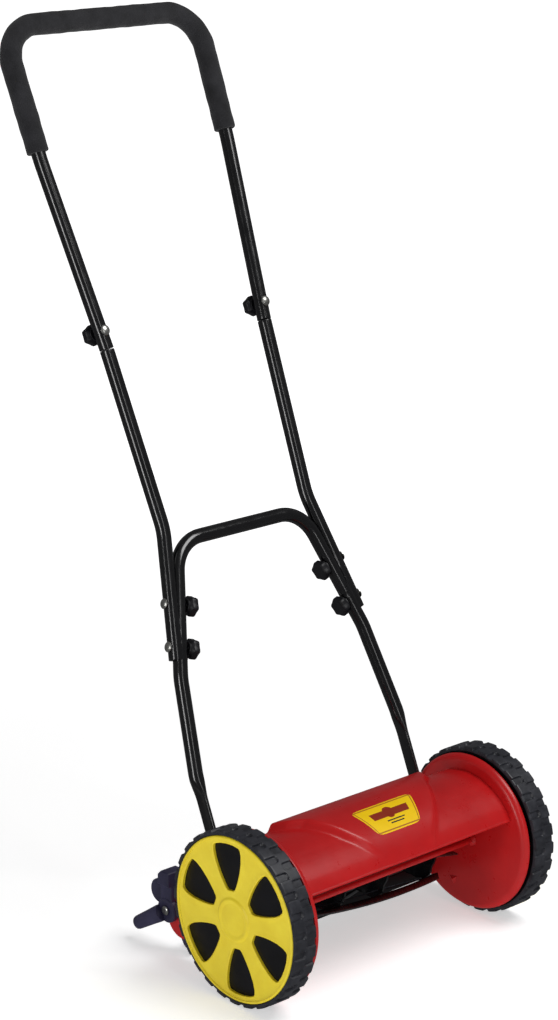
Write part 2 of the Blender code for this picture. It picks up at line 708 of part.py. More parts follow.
# ---------------------------------------------------------------- reel
def make_reel():
    """Shaft, spider discs and helical blades."""
    end = GEAR_INNER + GEAR_WIDTH + 0.003
    shaft = rod("reel_shaft", REEL_SHAFT_RADIUS, 2 * end, (0.0, REEL_Y, REEL_Z), sides=20)
    for label, side in SIDES.items():
        slot_size = (pawl_length() + 2 * GAP, PAWL_WIDTH + 2 * GAP, 0.03)
        slot = block(f"pawl_slot_{label}", slot_size, pawl_place(side))
        boolean(shaft, "DIFFERENCE", slot)
    settle(shaft, "reel", BLADE_STEEL)
    bore = bore_radius(REEL_SHAFT_RADIUS, GAP, 24)
    half = REEL_DISC_THICKNESS / 2
    for index, x in enumerate(REEL_DISC_PLACES, start=1):
        profile = [(REEL_DISC_RADIUS, half), (REEL_DISC_RADIUS, -half), (bore, -half), (bore, half)]
        disc = turned(f"reel_disc_{index}", profile, (x, REEL_Y, REEL_Z), facing_x(1), 24, True)
        settle(disc, "reel", BLACK_PAINT)
    for index in range(BLADE_COUNT):
        make_blade(index)


def make_blade(index):
    """A strip of steel carried along the shaft while it turns: a helical blade."""
    inner = REEL_DISC_RADIUS + GAP
    outer = REEL_RADIUS
    half = BLADE_THICKNESS / 2
    start = 2 * math.pi * index / BLADE_COUNT - REEL_TWIST / 2
    steps = 12

    def build(bm):
        corners = [(inner, -half), (outer, -half), (outer, half), (inner, half)]
        verts = []
        for radial, across in corners:
            y = radial * math.cos(start) - across * math.sin(start)
            z = radial * math.sin(start) + across * math.cos(start)
            verts.append(bm.verts.new((-REEL_LENGTH / 2, y, z)))
        section = bm.faces.new(verts)
        bmesh.ops.spin(bm, geom=[section], cent=(0.0, 0.0, 0.0), axis=(1.0, 0.0, 0.0),
                       dvec=(REEL_LENGTH / steps, 0.0, 0.0), angle=REEL_TWIST, steps=steps,
                       use_duplicate=False)
        bmesh.ops.recalc_face_normals(bm, faces=bm.faces)
    blade = link_mesh(f"reel_blade_{index + 1}", mesh_of("reel_blade", build), (0.0, REEL_Y, REEL_Z))
    settle(blade, "reel", BLADE_STEEL)


# ---------------------------------------------------------------- rear roller and height bracket
def slab_outline(bottom, top, front, rear):
    """A rectangle given by its bottom, top, front and rear edges."""
    return [(front, bottom), (rear, bottom), (rear, top), (front, top)]


def make_bracket(label, side):
    """Moulded height bracket astride the plate's lug: outer boss, upright slab, tail peg and roller arm."""
    y, z = BRACKET_PIVOT
    front = y - 0.010
    rear = y + 0.011
    top = z + BRACKET_SLAB_HEIGHT
    inset = 0.0006
    outer_middle = side * (BRACKET_START + BRACKET_OUTER) / 2
    outer_depth = BRACKET_OUTER - BRACKET_START
    bracket = rod(f"roller_bracket_{label}", BRACKET_BOSS_RADIUS, outer_depth, (outer_middle, y, z), sides=20)
    slab_loop = slab_outline(z, top, front, rear)
    slab_depth = outer_depth - 2 * inset
    slab = as_mesh(flat_plate(f"slab_{label}", [slab_loop], slab_depth, (outer_middle, 0.0, 0.0)))
    bridge_low = z + BRIDGE_RISE
    bridge_high = top - inset
    bridge_size = (BRACKET_OUTER - ARM_INNER - 2 * inset, rear - front - inset, bridge_high - bridge_low)
    bridge_middle = side * (ARM_INNER + BRACKET_OUTER) / 2
    bridge_place = (bridge_middle, (front + rear) / 2, (bridge_high + bridge_low) / 2)
    bridge = block(f"bridge_{label}", bridge_size, bridge_place)

    arm_middle = side * (ARM_INNER + ARM_OUTER) / 2
    arm_depth = ARM_OUTER - ARM_INNER
    run = Vector((ROLLER_Y - y, ROLLER_Z - z))
    heading = math.atan2(run.y, run.x)
    quarter = math.pi / 2
    low = arc((ROLLER_Y, ROLLER_Z), ARM_RADIUS, heading - quarter, heading + quarter, 7)
    high = arc((y, z), ARM_RADIUS, heading + quarter, heading + 3 * quarter, 7)
    arm = as_mesh(flat_plate(f"roller_arm_{label}", [low + high], arm_depth, (arm_middle, 0.0, 0.0)))
    stem_loop = slab_outline(z + 0.001, bridge_low + 0.004, front + 0.001, rear + 0.006)
    stem = as_mesh(flat_plate(f"stem_{label}", [stem_loop], arm_depth - 2 * inset, (arm_middle, 0.0, 0.0)))
    ear_place = (arm_middle, y + EAR_OFFSET[0], z + EAR_OFFSET[1])
    ear = rod(f"ear_{label}", EAR_RADIUS, arm_depth + 0.003, ear_place, sides=18)

    along = Vector((0.0, math.cos(PEG_ANGLE), math.sin(PEG_ANGLE)))
    pivot = Vector((side * (BRACKET_START + PEG_ROOT * PEG_FLATNESS), y, z))
    lean = (PEG_ANGLE - quarter, 0.0, 0.0)
    peg_middle = pivot + along * (PEG_START + PEG_LENGTH / 2)
    peg = rod(f"peg_{label}", PEG_ROOT, PEG_LENGTH, peg_middle, lean, 14, PEG_TIP)
    dome = PEG_TIP * 0.45
    dome_middle = pivot + along * (PEG_START + PEG_LENGTH + dome / 2 - 0.0001)
    end = rod(f"peg_end_{label}", PEG_TIP, dome, dome_middle, lean, 14, PEG_TIP * 0.62)
    for piece in (peg, end):
        piece.data.transform(Matrix.Diagonal((PEG_FLATNESS, 1.0, 1.0, 1.0)))
    boolean(bracket, "UNION", slab, bridge, arm, stem, ear, peg, end)
    pivot_hole = rod(f"pivot_hole_{label}", bore_radius(PIVOT_BOLT_RADIUS, GAP, 14), 0.06,
                     (side * PLATE_FACE, y, z), sides=14)
    shaft_hole = rod(f"shaft_hole_{label}", bore_radius(ROLLER_SHAFT_RADIUS, GAP, 14), 0.03,
                     (arm_middle, ROLLER_Y, ROLLER_Z), sides=14)
    boolean(bracket, "DIFFERENCE", pivot_hole, shaft_hole)
    settle(bracket, "height", BLACK_PLASTIC)

    head = BRACKET_OUTER + GAP
    crown = head + 0.0028
    shoulder = head + 0.0008
    start = ARM_INNER + 0.0005
    head_radius = 0.0058
    profile = [(0.0, crown), (head_radius * 0.6, crown), (head_radius, shoulder), (head_radius, head),
               (PIVOT_BOLT_RADIUS, head), (PIVOT_BOLT_RADIUS, start), (0.0, start)]
    screw = turned(f"height_pivot_screw_{label}", profile, (0.0, y, z), facing_x(side), 14, False)
    settle(screw, "frame", ZINC)


def make_roller():
    """Rear ground roller and its fixed shaft."""
    sides = 20
    bore = bore_radius(ROLLER_SHAFT_RADIUS, RUNNING, sides)
    surface = bore_radius(ROLLER_RADIUS, 0.0, sides)
    half = ARM_INNER - 0.004
    ease = 0.002
    profile = [(surface - ease, half), (surface, half - ease), (surface, ease - half),
               (surface - ease, -half), (bore, -half), (bore, half)]
    roller = turned("rear_roller", profile, (0.0, ROLLER_Y, ROLLER_Z), facing_x(1), sides, True, True)
    settle(roller, "roller", BLACK_PLASTIC)
    shaft_length = 2 * ARM_OUTER - 0.001
    shaft = rod("roller_shaft", ROLLER_SHAFT_RADIUS, shaft_length, (0.0, ROLLER_Y, ROLLER_Z), sides=14)
    settle(shaft, "height", ZINC)


# ---------------------------------------------------------------- handle
def mirrored(points):
    """A path from the left side's points and their mirror images, in one run."""
    return points + [Vector((-point.x, point.y, point.z)) for point in reversed(points)]


def lower_corners():
    """Corner points of the lower U's left half, from its foot to the middle of its bar."""
    foot = -FLAT_WIDTH / 2 * math.cos(HANDLE_LEAN)
    return [handle_point(-FLAT_CENTRE, foot), handle_point(-FLAT_CENTRE, LOWER_ANKLE_HEIGHT),
            handle_point(-LOWER_KNEE[0], LOWER_KNEE[1]), handle_point(-LOWER_TOP[0], LOWER_TOP[1])]


def leg_at(height):
    """Half width of the lower U's straight leg at a height between knee and top corner."""
    share = (LOWER_TOP[1] - height) / (LOWER_TOP[1] - LOWER_KNEE[1])
    return LOWER_TOP[0] + (LOWER_KNEE[0] - LOWER_TOP[0]) * share


def leg_tilt():
    """Angle of the lower U's straight leg from the handle's up direction, within the handle's plane."""
    rise = (LOWER_TOP[1] - LOWER_KNEE[1]) / math.cos(HANDLE_LEAN)
    return math.atan2(LOWER_KNEE[0] - LOWER_TOP[0], rise)


def lower_path():
    """Path of the lower U."""
    corners = mirrored(lower_corners())
    path = filleted(corners, [0.070, 0.090, 0.050, 0.050, 0.090, 0.070])
    extra = []
    for start, end in zip(path, path[1:]):
        extra.append(start)
        if start.z < FLAT_TOP_HEIGHT and end.z < FLAT_TOP_HEIGHT + 0.02 and abs(start.z - end.z) > 0.02:
            extra.extend(start.lerp(end, share) for share in (0.25, 0.5, 0.75))
    extra.append(path[-1])
    return extra


def flatten_feet(piece):
    """Press the tube's lower ends into flat strips that lie against the side plates."""
    fore = Vector((0.0, math.cos(HANDLE_LEAN), -math.sin(HANDLE_LEAN)))
    for vert in piece.data.vertices:
        if vert.co.z > FLAT_TOP_HEIGHT:
            continue
        side = 1.0 if vert.co.x > 0 else -1.0
        centre = handle_point(side * FLAT_CENTRE, 0.0)
        offset = vert.co - centre
        across = offset.dot(fore)
        sideways = offset.x
        radius = math.hypot(across, sideways)
        inner = radius < TUBE_RADIUS - TUBE_WALL / 2
        share = min(1.0, (FLAT_TOP_HEIGHT - vert.co.z) / FLAT_BLEND)
        blend = share * share * (3 - 2 * share)
        wall = TUBE_WALL if inner else 0.0
        reach = TUBE_RADIUS - wall
        thin = (FLAT_THICKNESS / 2 - wall) / reach
        wide = (FLAT_WIDTH / 2 - wall) / reach
        vert.co += Vector((sideways * (thin - 1.0) * blend, 0.0, 0.0))
        vert.co += fore * (across * (wide - 1.0) * blend)


def bolt_cutter(name, place, direction, radius=None, length=0.08):
    """A hole for a clamp bolt along a direction."""
    turn = direction.to_track_quat("Z", "Y").to_euler()
    size = bore_radius(BOLT_RADIUS, GAP, 12) if radius is None else radius
    return rod(name, size, length, place, turn, 12)


def clamp_places(label, side):
    """Each clamp bolt of one side: name, point on the bolt's axis, outward direction, head and knob reach."""
    tilt = leg_tilt()
    outward = Vector((side * math.cos(tilt), 0.0, 0.0)) + math.sin(tilt) * Vector(
        (0.0, math.sin(HANDLE_LEAN), math.cos(HANDLE_LEAN)))
    places = []
    for index, height in enumerate(BOLT_HEIGHTS, start=1):
        spot = handle_point(side * leg_at(height), height)
        head = nest_distance(height) + TUBE_RADIUS + BOLT_HEAD_RADIUS * math.sin(nest_angle())
        places.append((f"lower_{index}_{label}", spot, outward, head, TUBE_RADIUS))
    rear = Vector((0.0, math.cos(HANDLE_LEAN), -math.sin(HANDLE_LEAN)))
    height = JOINT_HEIGHT + UPPER_BOLT_RISE
    share = UPPER_BOLT_RISE / (UPPER_BEND_HEIGHT - JOINT_HEIGHT)
    x = JOINT_HALF_WIDTH + (UPPER_BEND_HALF_WIDTH - JOINT_HALF_WIDTH) * share
    places.append((f"upper_{label}", handle_point(side * x, height), -rear, TUBE_RADIUS, TUBE_RADIUS))
    return places


def middle_end():
    """Half width of the middle tube's lower end, beside the lower U's leg."""
    return leg_at(MIDDLE_END_HEIGHT) + MIDDLE_NEST_OFFSET / math.cos(leg_tilt())


def nest_distance(height):
    """Distance between the two tubes' centre lines at a bolt, square to the leg."""
    share = (MIDDLE_BEND[1] - height) / (MIDDLE_BEND[1] - MIDDLE_END_HEIGHT)
    x = MIDDLE_BEND[0] + (middle_end() - MIDDLE_BEND[0]) * share
    return (x - leg_at(height)) * math.cos(leg_tilt())


def nest_angle():
    """Angle between the middle tube and the leg it lies on."""
    rise = (MIDDLE_BEND[1] - MIDDLE_END_HEIGHT) / math.cos(HANDLE_LEAN)
    return abs(leg_tilt() - math.atan2(middle_end() - MIDDLE_BEND[0], rise))


def make_handle():
    """Lower U, two middle tubes, upper U and its foam grip."""
    outside = tube("lower_handle", lower_path(), TUBE_RADIUS, TUBE_RESOLUTION, False)
    lower = as_mesh(hollow(outside, TUBE_WALL))
    flatten_feet(lower)
    for label, side in SIDES.items():
        foot_hole = rod(f"foot_hole_{label}", bore_radius(PIVOT_BOLT_RADIUS, GAP, 14), 0.03,
                        (side * FLAT_CENTRE, HANDLE_PIVOT_Y, 0.0), sides=14)
        boolean(lower, "DIFFERENCE", foot_hole)

    upper_corners = [handle_point(-JOINT_HALF_WIDTH, JOINT_HEIGHT),
                     handle_point(-UPPER_BEND_HALF_WIDTH, UPPER_BEND_HEIGHT),
                     handle_point(-UPPER_HALF_WIDTH, HANDLE_TOP)]
    upper_run = filleted(mirrored(upper_corners), [0.300, 0.050, 0.050, 0.300])
    outside = tube("upper_handle", upper_run, TUBE_RADIUS, TUBE_RESOLUTION, False)
    upper = as_mesh(hollow(outside, TUBE_WALL))
    grip_run = [point for point in upper_run if point.z > GRIP_END_HEIGHT + 0.002]
    start = leg_point(upper_run, GRIP_END_HEIGHT)
    grip_run = [start, *grip_run, Vector((-start.x, start.y, start.z))]
    grip_wall = inner_flat(GRIP_RADIUS, 0.0) - TUBE_RADIUS - GAP
    grip = hollow(tube("foam_grip", grip_run, GRIP_RADIUS, TUBE_RESOLUTION, False), grip_wall)
    settle(grip, "handle", FOAM)

    clear = bore_radius(TUBE_RADIUS, GAP, TUBE_SIDES)
    leg_space = as_mesh(tube("leg_space", lower_path(), clear, TUBE_RESOLUTION))
    for label, side in SIDES.items():
        middle = make_middle_tube(label, side)
        boolean(middle, "DIFFERENCE", leg_space)
        for name, spot, outward, head, knob in clamp_places(label, side):
            pair = (upper, middle) if name.startswith("upper") else (middle, lower)
            for piece in pair:
                boolean(piece, "DIFFERENCE", bolt_cutter(f"{piece.name}_{name}_hole", spot, outward))
            make_clamp(name, spot, outward, head, knob)
        settle(middle, "handle", BLACK_PAINT)
    settle(lower, "handle", BLACK_PAINT)
    settle(upper, "handle", BLACK_PAINT)


def leg_point(path, height):
    """The point of a path's first leg at a height."""
    for start, end in zip(path, path[1:]):
        if start.z <= height <= end.z:
            return start.lerp(end, (height - start.z) / (end.z - start.z))
    return path[0]


def make_middle_tube(label, side):
    """Tube between the two U's: a slim spigot at the top and a hollowed lower end that nests on the leg."""
    joint = handle_point(side * JOINT_HALF_WIDTH, JOINT_HEIGHT)
    bend = handle_point(side * MIDDLE_BEND[0], MIDDLE_BEND[1])
    along = (handle_point(side * UPPER_BEND_HALF_WIDTH, UPPER_BEND_HEIGHT) - joint).normalized()
    down = (bend - joint).normalized()
    kink = (-down).angle(along)
    top = joint + down * (GAP + TUBE_RADIUS * math.sin(kink))
    end = handle_point(side * middle_end(), MIDDLE_END_HEIGHT)
    run = filleted([top, bend, end], [0.090])
    middle = as_mesh(tube(f"middle_tube_{label}", run, TUBE_RADIUS, TUBE_RESOLUTION))
    spigot_radius = inner_flat(TUBE_RADIUS, TUBE_WALL) - GAP
    tip = top + along * SPIGOT_LENGTH
    sunk = top + down * 0.004
    spigot = as_mesh(tube(f"spigot_{label}", [sunk, top, tip], spigot_radius, TUBE_RESOLUTION))
    bore_end = top.lerp(bend, 0.80)
    bore_path = [bore_end, top, tip + along * 0.002]
    bore = as_mesh(tube(f"bore_{label}", bore_path, spigot_radius - TUBE_WALL, TUBE_RESOLUTION))
    boolean(middle, "UNION", spigot)
    boolean(middle, "DIFFERENCE", bore)
    return middle


def make_clamp(name, spot, outward, head_reach, knob_reach):
    """A domed bolt through both tubes and the hand knob on its thread."""
    turn = outward.to_track_quat("Z", "Y").to_euler()
    seat = head_reach + GAP
    head = BOLT_HEAD_RADIUS
    knob_seat = -(knob_reach + GAP)
    end = knob_seat - KNOB_LENGTH + 0.002
    profile = [(0.0, seat + 0.0034), (head * 0.6, seat + 0.0028), (head, seat + 0.0008),
               (head, seat), (BOLT_RADIUS, seat), (BOLT_RADIUS, end), (0.0, end)]
    bolt = turned(f"bolt_{name}", profile, spot, turn, 12, False)
    settle(bolt, "handle", ZINC)
    waist = KNOB_RADIUS * 0.90
    rim = []
    for index in range(2 * KNOB_LOBES):
        radius = KNOB_RADIUS if index % 2 == 0 else waist
        angle = math.pi * index / KNOB_LOBES
        rim.append((radius * math.cos(angle), radius * math.sin(angle)))
    hole = circle((0.0, 0.0), bore_radius(BOLT_RADIUS, RUNNING, 12), 12)
    centre = spot + outward * (knob_seat - KNOB_LENGTH / 2)
    knob = flat_plate(f"knob_{name}", [rim, hole], KNOB_LENGTH, centre, turn)
    hub = axis_empty(f"knob_axis_{name}", spot - AXES["handle"].location, AXES["handle"])
    knob.location = centre - spot
    knob.parent = hub
    knob.data.materials.append(finish_of(BLACK_PLASTIC))


# ---------------------------------------------------------------- build
for plate_label, plate_side in SIDES.items():
    make_side_plate(plate_label, plate_side)
    make_axle(plate_label, plate_side)
    make_bearing(plate_label, plate_side)
    make_pivot_bolt(plate_label, plate_side)
    make_wheel(plate_label, plate_side)
    make_tyre(plate_label, plate_side)
    make_hub_cap(plate_label, plate_side)
    make_pinion(plate_label, plate_side)
    make_bracket(plate_label, plate_side)
make_cover()
make_cross_rod()
make_bed()
make_reel()
make_roller()
make_handle()


def stand_on_ground():
    """Shift the frame so that the origin is at the middle of the mower's footprint, on the ground."""
    bpy.context.view_layer.update()
    graph = bpy.context.evaluated_depsgraph_get()
    low = Vector((math.inf, math.inf, math.inf))
    high = -low
    for piece in PARTS.objects:
        if piece.type == "EMPTY":
            continue
        seen = piece.evaluated_get(graph)
        mesh = seen.to_mesh()
        for vert in mesh.vertices:
            place = seen.matrix_world @ vert.co
            low = Vector(map(min, low, place))
            high = Vector(map(max, high, place))
        seen.to_mesh_clear()
    FRAME.location = (-(low.x + high.x) / 2, -(low.y + high.y) / 2, -low.z)
    bpy.context.view_layer.update()


stand_on_ground()
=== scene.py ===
import math

import bpy
import numpy as np
from mathutils import Matrix, Vector


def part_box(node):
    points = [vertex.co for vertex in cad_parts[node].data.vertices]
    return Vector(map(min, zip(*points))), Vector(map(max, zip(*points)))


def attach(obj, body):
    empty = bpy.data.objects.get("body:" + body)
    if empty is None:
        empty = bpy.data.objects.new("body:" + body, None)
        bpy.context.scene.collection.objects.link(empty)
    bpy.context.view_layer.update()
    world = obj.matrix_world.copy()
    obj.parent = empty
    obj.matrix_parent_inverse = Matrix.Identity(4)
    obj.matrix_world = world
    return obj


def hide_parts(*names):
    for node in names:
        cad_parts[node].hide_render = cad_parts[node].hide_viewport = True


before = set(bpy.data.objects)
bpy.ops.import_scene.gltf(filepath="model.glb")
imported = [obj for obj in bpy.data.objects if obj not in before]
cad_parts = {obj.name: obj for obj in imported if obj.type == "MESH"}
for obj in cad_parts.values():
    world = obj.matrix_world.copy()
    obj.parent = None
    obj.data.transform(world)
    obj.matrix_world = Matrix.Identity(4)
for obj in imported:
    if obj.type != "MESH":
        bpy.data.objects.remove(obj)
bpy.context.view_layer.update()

# Looks of a push reel mower. Every new piece is worked out in millimetres about the wheel axis (X along the
# axle, -Y forward, Z up), then turned to metres and moved to the row frame when it goes into its mesh.
tyre_low, tyre_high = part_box("tyre_left")
AXLE = np.array([0.0, (tyre_low.y + tyre_high.y) / 2, (tyre_low.z + tyre_high.z) / 2])
SIDES = {"left": -1.0, "right": 1.0}
MM = 0.001

# ---------------------------------------------------------------- sizes, in millimetres
WHEEL_R = 107.5
TYRE_IN = 186.0
TYRE_OUT = 218.0
RIM_R = 101.5
CAP_FACE = 220.0
PLATE_IN = 172.0
PLATE_R = 100.7
PLATE_ROUND = 8.7
PLATE_WALL = 2.5
TUBE_R = 9.0
GRIP_R = 14.0
PIVOT_Y = 66.2
LEAN = math.atan(0.43)
FLAT_CENTRE = 168.95
FLAT_HALF_WIDE = 9.75
FLAT_HALF_THICK = 2.75
FLAT_TOP = 128.0
FLAT_BLEND = 26.0
REEL_Y = 38.85
REEL_Z = -20.66
REEL_R = 47.0
DISC_R = 38.0
BRACKET_Y = 163.0
BRACKET_Z = -53.0
ROLLER_Y = 138.0
ROLLER_Z = -89.5
JOINT_Z = 610.5


# ---------------------------------------------------------------- colour and shader helpers
def linear(code):
    """sRGB hex to linear light: below 0.04045 divide by 12.92, above it ((c + 0.055) / 1.055) ** 2.4."""
    parts = [int(code[i:i + 2], 16) / 255 for i in (1, 3, 5)]
    return tuple(c / 12.92 if c <= 0.04045 else ((c + 0.055) / 1.055) ** 2.4 for c in parts) + (1.0,)


def grey(value):
    """A grey colour for a roughness ramp."""
    return (value, value, value, 1.0)


def add(material, kind, settings=None, links=None, stops=(), **options):
    """Add a node: options are its properties, settings its socket values and links its inputs.

    stops are the two (place, colour) pairs of a colour ramp.
    """
    tree = material.node_tree
    node = tree.nodes.new("ShaderNode" + kind)
    for key, value in options.items():
        setattr(node, key, value)
    for key, value in (settings or {}).items():
        node.inputs[key].default_value = value
    for key, (source, output) in (links or {}).items():
        tree.links.new(source.outputs[output], node.inputs[key])
    for index, (place, colour) in enumerate(stops):
        node.color_ramp.elements[index].position = place
        node.color_ramp.elements[index].color = colour
    return node


def new_finish(name, settings):
    """A material with its shader's plain sockets set, as (material, shader, link to object coordinates)."""
    material = bpy.data.materials.new(name)
    material.use_nodes = True
    shader = material.node_tree.nodes["Principled BSDF"]
    for key, value in settings.items():
        shader.inputs[key].default_value = value
    return material, shader, {"Vector": (add(material, "TexCoord"), "Object")}


def wire(material, shader, outputs):
    """Link outputs, each given as (node, output), to the shader's sockets."""
    for socket, (source, output) in outputs.items():
        material.node_tree.links.new(source.outputs[output], shader.inputs[socket])


# ---------------------------------------------------------------- materials
# A pattern on object coordinates, which are in metres, has a scale of 1000 / its size in millimetres.
def enamel(name, light, dark, rough, peel_depth_mm, shine):
    """Sprayed and baked enamel: even colour, the faint orange peel of spray paint, and dusty patches."""
    material, shader, at = new_finish(name, {"IOR": 1.5, "Specular IOR Level": shine})
    cloud = add(material, "TexNoise", {"Scale": 1000 / 60.0, "Detail": 4.0, "Roughness": 0.6}, at)
    dust = add(material, "TexNoise", {"Scale": 1000 / 22.0, "Detail": 6.0, "Roughness": 0.7}, at)
    peel = add(material, "TexNoise", {"Scale": 1000 / 1.4, "Detail": 2.0, "Roughness": 0.5}, at)
    colour = add(material, "ValToRGB", links={"Fac": (cloud, "Fac")},
                 stops=[(0.30, linear(dark)), (0.70, linear(light))])
    gloss = add(material, "ValToRGB", links={"Fac": (dust, "Fac")},
                stops=[(0.35, grey(rough)), (0.75, grey(rough + 0.12))])
    bump = add(material, "Bump", {"Strength": 1.0, "Distance": peel_depth_mm * MM}, {"Height": (peel, "Fac")})
    wire(material, shader, {"Base Color": (colour, "Color"), "Roughness": (gloss, "Color"),
                            "Normal": (bump, "Normal")})
    return material


def moulded(name, light, dark, rough, grain_mm, grain_depth_mm):
    """Injection-moulded plastic: a fine spark-eroded grain, slight flow marks and scuffed patches."""
    material, shader, at = new_finish(name, {"IOR": 1.46})
    flow = add(material, "TexNoise", {"Scale": 1000 / 35.0, "Detail": 5.0, "Roughness": 0.6}, at)
    scuff = add(material, "TexNoise", {"Scale": 1000 / 9.0, "Detail": 6.0, "Roughness": 0.75}, at)
    grain = add(material, "TexNoise", {"Scale": 1000 / grain_mm, "Detail": 2.0, "Roughness": 0.5}, at)
    colour = add(material, "ValToRGB", links={"Fac": (flow, "Fac")},
                 stops=[(0.32, linear(dark)), (0.68, linear(light))])
    gloss = add(material, "ValToRGB", links={"Fac": (scuff, "Fac")},
                stops=[(0.35, grey(rough - 0.06)), (0.72, grey(rough + 0.10))])
    bump = add(material, "Bump", {"Strength": 1.0, "Distance": grain_depth_mm * MM},
               {"Height": (grain, "Fac")})
    wire(material, shader, {"Base Color": (colour, "Color"), "Roughness": (gloss, "Color"),
                            "Normal": (bump, "Normal")})
    return material


def tyre_rubber():
    """Moulded black rubber: matt, greyer where the mould release and dust stay, with a fine pebbled skin."""
    material, shader, at = new_finish("tyre_rubber_moulded", {"IOR": 1.50, "Specular IOR Level": 0.45})
    cloud = add(material, "TexNoise", {"Scale": 1000 / 14.0, "Detail": 6.0, "Roughness": 0.65}, at)
    skin = add(material, "TexNoise", {"Scale": 1000 / 1.6, "Detail": 3.0, "Roughness": 0.5}, at)
    colour = add(material, "ValToRGB", links={"Fac": (cloud, "Fac")},
                 stops=[(0.30, linear("#1C1D22")), (0.72, linear("#32333A"))])
    gloss = add(material, "ValToRGB", links={"Fac": (cloud, "Fac")},
                stops=[(0.30, grey(0.32)), (0.75, grey(0.54))])
    bump = add(material, "Bump", {"Strength": 1.0, "Distance": 0.10 * MM}, {"Height": (skin, "Fac")})
    wire(material, shader, {"Base Color": (colour, "Color"), "Roughness": (gloss, "Color"),
                            "Normal": (bump, "Normal")})
    return material


def cell_foam():
    """Closed-cell nitrile foam: matt, with a skin of small 0.9 mm cells, drawn at 1.6 mm so that they show."""
    material, shader, at = new_finish("grip_foam_nitrile", {
        "IOR": 1.45, "Roughness": 0.92, "Specular IOR Level": 0.25,
        "Sheen Weight": 0.10, "Sheen Roughness": 0.5})
    cloud = add(material, "TexNoise", {"Scale": 1000 / 26.0, "Detail": 5.0, "Roughness": 0.6}, at)
    cells = add(material, "TexVoronoi", {"Scale": 1000 / 1.6}, at)
    waves = add(material, "TexNoise", {"Scale": 1000 / 5.0, "Detail": 4.0, "Roughness": 0.5}, at)
    colour = add(material, "ValToRGB", links={"Fac": (cloud, "Fac")},
                 stops=[(0.30, linear("#19191B")), (0.72, linear("#29292C"))])
    pits = add(material, "Bump", {"Strength": 1.0, "Distance": 0.30 * MM}, {"Height": (cells, "Distance")})
    bump = add(material, "Bump", {"Strength": 1.0, "Distance": 0.35 * MM},
               {"Height": (waves, "Fac"), "Normal": (pits, "Normal")})
    wire(material, shader, {"Base Color": (colour, "Color"), "Normal": (bump, "Normal")})
    return material


def drawn_metal(name, light, dark, rough, along, coarse_mm, depth_mm):
    """Bare metal with the marks of its making: noise sixty times as long along one axis as across it."""
    material, shader, at = new_finish(name, {"Metallic": 1.0})
    stretch = [1000 / coarse_mm] * 3
    stretch[along] /= 60.0
    place = add(material, "Mapping", {"Scale": tuple(stretch)}, at)
    marks = add(material, "TexNoise", {"Scale": 1.0, "Detail": 4.0}, {"Vector": (place, "Vector")})
    stain = add(material, "TexNoise", {"Scale": 1000 / 12.0, "Detail": 5.0, "Roughness": 0.7}, at)
    both = add(material, "Math", links={0: (marks, "Fac"), 1: (stain, "Fac")}, operation="MULTIPLY")
    colour = add(material, "ValToRGB", links={"Fac": (both, "Value")},
                 stops=[(0.12, linear(dark)), (0.38, linear(light))])
    gloss = add(material, "ValToRGB", links={"Fac": (both, "Value")},
                stops=[(0.12, grey(rough + 0.12)), (0.40, grey(rough))])
    bump = add(material, "Bump", {"Strength": 1.0, "Distance": depth_mm * MM}, {"Height": (marks, "Fac")})
    wire(material, shader, {"Base Color": (colour, "Color"), "Roughness": (gloss, "Color"),
                            "Normal": (bump, "Normal")})
    return material


def blade_steel():
    """Hardened steel strip, blued by the oven and ground bright along its cutting land (attribute "land").

    The grinding marks run round the reel, so they are ten times as fine along X as across it.
    """
    material, shader, at = new_finish("blade_steel_ground", {"Metallic": 1.0})
    land = add(material, "Attribute", attribute_name="land")
    place = add(material, "Mapping", {"Scale": (900.0, 90.0, 90.0)}, at)
    grinding = add(material, "TexNoise", {"Scale": 1.0, "Detail": 3.0}, {"Vector": (place, "Vector")})
    scale = add(material, "TexNoise", {"Scale": 1000 / 8.0, "Detail": 5.0, "Roughness": 0.7}, at)
    bright = add(material, "ValToRGB", links={"Fac": (grinding, "Fac")},
                 stops=[(0.30, linear("#5C5D60")), (0.70, linear("#8C8D8E"))])
    dull = add(material, "ValToRGB", links={"Fac": (scale, "Fac")},
               stops=[(0.30, linear("#17171A")), (0.75, linear("#3A3A3F"))])
    colour = add(material, "Mix", data_type="RGBA",
                 links={"Factor": (land, "Fac"), "A": (dull, "Color"), "B": (bright, "Color")})
    gloss = add(material, "ValToRGB", links={"Fac": (land, "Fac")},
                stops=[(0.0, grey(0.34)), (1.0, grey(0.40))])
    bump = add(material, "Bump", {"Strength": 1.0, "Distance": 0.02 * MM}, {"Height": (grinding, "Fac")})
    wire(material, shader, {"Base Color": (colour, "Result"), "Roughness": (gloss, "Color"),
                            "Normal": (bump, "Normal")})
    return material


